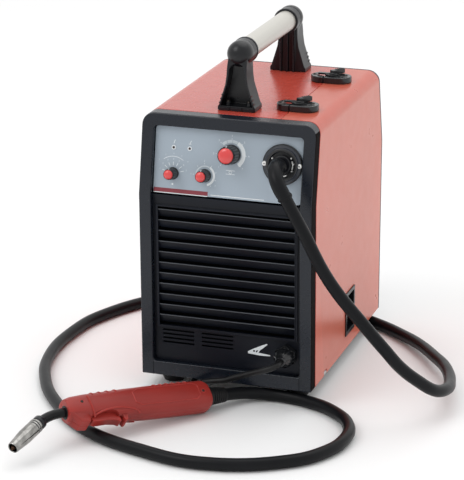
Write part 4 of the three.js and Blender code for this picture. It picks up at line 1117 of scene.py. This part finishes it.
def shell_relief(side, name):
    """Raised beads on one torch shell: a framed grip field and short grip bars along the back."""
    relief = Piece(TORCH)
    field = [(x, 62) for x in range(24, 112, 8)] + [(112, 75), (112, 105)]
    field += [(x, 118) for x in range(104, 23, -8)] + [(18, 105), (18, 75), (24, 62)]
    relief.sweep([on_handle(x, side * angle, 0.05) for x, angle in field], 0.7, 8)
    for x in [*range(30, 76, 9), *range(132, 166, 11)]:
        relief.sweep([on_handle(x, side * angle, 0.1) for angle in range(126, 173, 5)], 0.95, 10)
    arch = ((172, 28), (167, 42), (158, 54), (146, 60), (133, 60), (121, 52), (113, 40), (109, 26))
    block = ((174, 118), (174, 100), (173.5, 80), (173, 62), (172, 42), (171, 24))
    for line in (arch, block):
        points = smooth_route([on_handle(x, side * angle, 0.1) for x, angle in line], 5)
        relief.sweep(points, 1.3, 10)
    relief.finish(name, "torch_red")


def torch_screws():
    """Two screws on each side of the handle, each in a raised round well."""
    spots = []
    for x, y in ((184, -4), (12, 1)):
        depth = handle_section(x)[2]
        for roll, across in ((0, y), (180, -y)):
            at = TORCH @ turned(roll, "X")
            spots.append((at, x, across, depth - 0.9))
    screws("torch_screws", spots, 2.1, DARK_SCREW)
    wells = Piece()
    for at, x, y, height in spots:
        wells.at = at
        wells.lathe([
            [2.3, height], [3.3, height], [3.3, height + 0.75], [2.9, height + 1.1], [2.3, height + 0.9],
        ], 24, (x, y), closed=True)
    wells.finish("torch_screw_wells", "torch_red")


def torch_neck():
    """The bent neck in its glossy sleeve, with a collar at each end."""
    front = TORCH_LENGTH
    neck = Piece(TORCH)
    neck.sweep(smooth_route([
        (front + 0.3, 0, 0), (front + 9, 0.3, 0), (front + 21, 2.5, 0), (front + 33, 7, 0), (*NECK_END, 0),
    ], 8), 6.1, 28)
    neck.stand_in("swan_neck", "neck_sleeve", "plastic_black", look=NECK_BLACK)
    collar = Piece(NOZZLE)
    collar.lathe([
        [5.5, -9], [8.0, -9], [8.8, -7.6], [8.8, -2.2], [8.1, -1.4], [8.1, 0.3], [5.5, 0.3],
    ], 36, closed=True)
    collar.finish("neck_collar", "plastic_black")
    mouth = Piece(TORCH @ ALONG_X)
    mouth.lathe([
        [6.2, front - 3], [8.6, front - 3], [8.6, front + 0.25], [8.0, front + 0.7], [6.2, front + 0.7],
    ], 32, closed=True)
    mouth.finish("neck_seat", "rubber_black")


def torch_nozzle():
    """The chromed nozzle, with a grooved shoulder and a tapered mouth, and the contact tip inside it."""
    nozzle = Piece(NOZZLE)
    nozzle.lathe([
        [6.7, 0.5], [8.9, 0.5], [9.35, 1.1], [9.35, 3], [8.6, 3.5], [8.6, 4.6], [9.35, 5.1], [9.35, 6.6],
        [8.6, 7.1], [8.6, 8.2], [9.4, 8.8], [9.4, 27], [9.2, 29.5], [8.8, 33], [7.25, 50.6], [7.0, 51.6],
        [6.7, 51.95], [6.1, 51.9], [5.75, 51.4], [5.75, 47], [7.4, 29], [7.4, 6], [6.7, 6],
    ], 56, closed=True)
    nozzle.stand_in("gas_nozzle", "nozzle", "nozzle_chrome")
    tip = Piece(NOZZLE)
    tip.lathe([
        [5.7, 1], [5.7, 13.6], [4, 14.8], [4, 37.5], [3.6, 40.6], [2.9, 42.7], [1.7, 43.3], [0.9, 43.1],
        [0.7, 42.4], [0.7, 30],
    ], 32)
    tip.stand_in("contact_tip", "contact_tip_finished", "tip_copper")
    # Dark rings laid in the shoulder's two grooves paint the shade inside them.
    groove_shade = Piece(NOZZLE)
    for height in (3.5, 7.1):
        groove_shade.ring(8.0, 8.75, height + 0.05, height + 1.05, 48)
    groove_shade.finish("nozzle_groove_shade", "grille_dark")


def torch_boot():
    """The rubber boot at the rear of the handle, with bend-relief ribs."""
    profile = [[8.1, -27.6], [9.2, -28]]
    for step in range(6):
        start = -27 + step * 3.4
        radius = 9.6 + step * 0.35
        profile += [[radius, start], [radius, start + 1.9]]
        profile += [[radius - 0.9, start + 2.2], [radius - 0.9, start + 3.1]]
    profile += [[12.4, -6], [13.0, -3], [13.1, -0.35], [8.1, -0.35]]
    boot = Piece(TORCH @ ALONG_X)
    boot.lathe(profile, 40, closed=True)
    boot.stand_in("torch_boot", "boot", "rubber_black")


def sleeve_radius(share):
    """The bend relief narrows towards a ring with a groove before it, and closes on the cable."""
    if share > 0.985:
        return 8.3
    if share > 0.93:
        return 9.7
    groove = 0.3 if share > 0.89 else 0
    return 9.9 - 0.9 * share - groove


def sleeve():
    """The bend relief between the socket and the cable, which ends a little way along the cable."""
    overlap = 1.5
    route = smooth_route([[value / MM for value in point] for point in SLEEVE_ROUTE], 8)
    start, onward = (Vector(point) / MM for point in TORCH_CABLE_ROUTE[:2])
    tube = Piece()
    tube.sweep([*route, start + (onward - start).normalized() * overlap], sleeve_radius, 32)
    tube.stand_in("cable_sleeve", "bend_relief", "rubber_black", look=LEATHERED)


# ---- Earth clamp ----
def clamp_half(at, side, name, body):
    """The vinyl-dipped grip and the jaw teeth of one half of the clamp."""
    outline = [(-30, 10.4), (-57, 19.8), (-61, 20.4), (-61, 28.6), (-54.5, 30.6), (-28, 21.6)]
    grip = Piece(at)
    grip.prism([(x, y * side) for x, y in outline], 0.35, 22.4)
    grip.finish(f"clamp_grip_{name}", "rubber_black", body, bevel=0.8)
    tooth = [(0, 0.6), (2.2, 0.3), (4.4, 0.6), (2.2, 3)]
    teeth = Piece(at)
    teeth.prisms([[(low + x, y * side) for x, y in tooth] for low in range(28, 49, 5)], 0.6, 21.9)
    teeth.finish(f"clamp_teeth_{name}", "tip_copper", body)


def clamp_details():
    """Both halves of the earth clamp, and the pivot pin with its spring."""
    at = Matrix.Translation((CLAMP["x"] / MM, CLAMP["y"] / MM, 0)) @ turned(180, "Z")
    clamp_half(at, -1, "fixed", "machine")
    clamp_half(at, 1, "moving", "clamp")
    pin = Piece(at)
    pin.lathe([[3.4, 0.2], [3.4, 23.2], [2.6, 24], [0, 24.1]], 24)
    angles = [22.5 * step for step in range(33)]
    pin.sweep([(*polar(5.2, angle), 22.6 + 1.2 * angle / 360) for angle in angles], 0.6, 8)
    pin.finish("clamp_pin", "steel_bare")


# ---- Stage ----
ROOM = {"front": 0.8, "back": 1.05}
LIGHTS = (
    {"name": "key", "place": (-1.6, -1.8, 2.8), "size": 2.0, "power": 26},
    {"name": "top", "place": (0.3, 0.9, 3.0), "size": 3.0, "power": 22},
)
LIGHT_TARGET = Vector((0, 0, 0.2))
FLOOR_REACH = 9000


def make_floor():
    """A wide pale floor under the object."""
    floor = Piece()
    floor.prism(rectangle(-FLOOR_REACH, FLOOR_REACH, -FLOOR_REACH, FLOOR_REACH), -20, 0)
    mesh = bpy.data.meshes.new("floor")
    floor.mesh.to_mesh(mesh)
    floor.mesh.free()
    mesh.materials.append(surface(
        "pale_floor", (0.88, 0.88, 0.88), 0.7, mottle=(0.01, 2), grain=(200, 0.02), specular=0.2,
    ))
    add_object("floor", mesh)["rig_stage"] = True


def make_lights():
    """Large round lamps aimed at the object."""
    for lamp in LIGHTS:
        data = bpy.data.lights.new(lamp["name"], "AREA")
        data.shape = "DISK"
        data.size = lamp["size"]
        data.energy = lamp["power"]
        light = add_object(lamp["name"], data)
        light.location = lamp["place"]
        light.rotation_euler = (LIGHT_TARGET - light.location).to_track_quat("-Z", "Y").to_euler()


def make_world():
    """A pale room, brighter behind and above the object than in front of it."""
    world = bpy.data.worlds.new("room")
    world.use_nodes = True
    tree = world.node_tree
    direction = add_node(tree, "ShaderNodeTexCoord").outputs["Generated"]
    parts = add_node(tree, "ShaderNodeSeparateXYZ", {"Vector": direction})
    brightness = add_node(tree, "ShaderNodeMapRange", {
        "Value": parts.outputs["Y"], "From Min": -1.0, "From Max": 0.5,
        "To Min": ROOM["front"], "To Max": ROOM["back"],
    })
    background = tree.nodes["Background"]
    background.inputs["Color"].default_value = (1, 1, 1, 1)
    tree.links.new(brightness.outputs[0], background.inputs["Strength"])
    bpy.context.scene.world = world


# ---- Assembly ----
def make_cords():
    """The torch cable and the earth lead, on the routes of their CAD solids."""
    torch_cable = cable("torch_cable_flex", TORCH_CABLE_ROUTE, TORCH_CABLE, LEATHERED, ("torch_cable",))
    earth_route = [*EARTH_FRONT_ROUTE, *coil_route(), *EARTH_TAIL_ROUTE]
    earth_nodes = ("earth_cable", "earth_coil", "earth_cable_tail")
    earth_lead = cable("earth_lead_flex", earth_route, EARTH_CABLE, LOOKS["rubber_black"], earth_nodes)
    return torch_cable, earth_lead


def declare_cords(torch_cable, earth_lead):
    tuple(TORCH_CABLE_ROUTE[0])
    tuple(EARTH_FRONT_ROUTE[0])


make_camera()
torch_cable, earth_lead = make_cords()
finish_cad_nodes()

case_screws()
fan_guard()
switch_frame()
pull_grip()
handle_details()
handle_knuckles()
latch_details()

grille_border()
grille_lips()
grille_filter()
sill_seams()
clamp_symbol()
panel_print()
lamps()
for name, knob in KNOBS.items():
    dial_knob(name, knob)
socket_rim()
socket_contacts()
gland_details()

wound_wire()
spool_spokes()
feed_rolls()
feeder_details()

shell_relief(1, "torch_relief_left")
shell_relief(-1, "torch_relief_right")
torch_screws()
torch_neck()
torch_nozzle()
torch_boot()
sleeve()
clamp_details()
declare_cords(torch_cable, earth_lead)

make_floor()
make_world()
make_lights()
bpy.context.scene.view_settings.view_transform = "Standard"

[[list(corner) for corner in box] for box in (cad_box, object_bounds())]
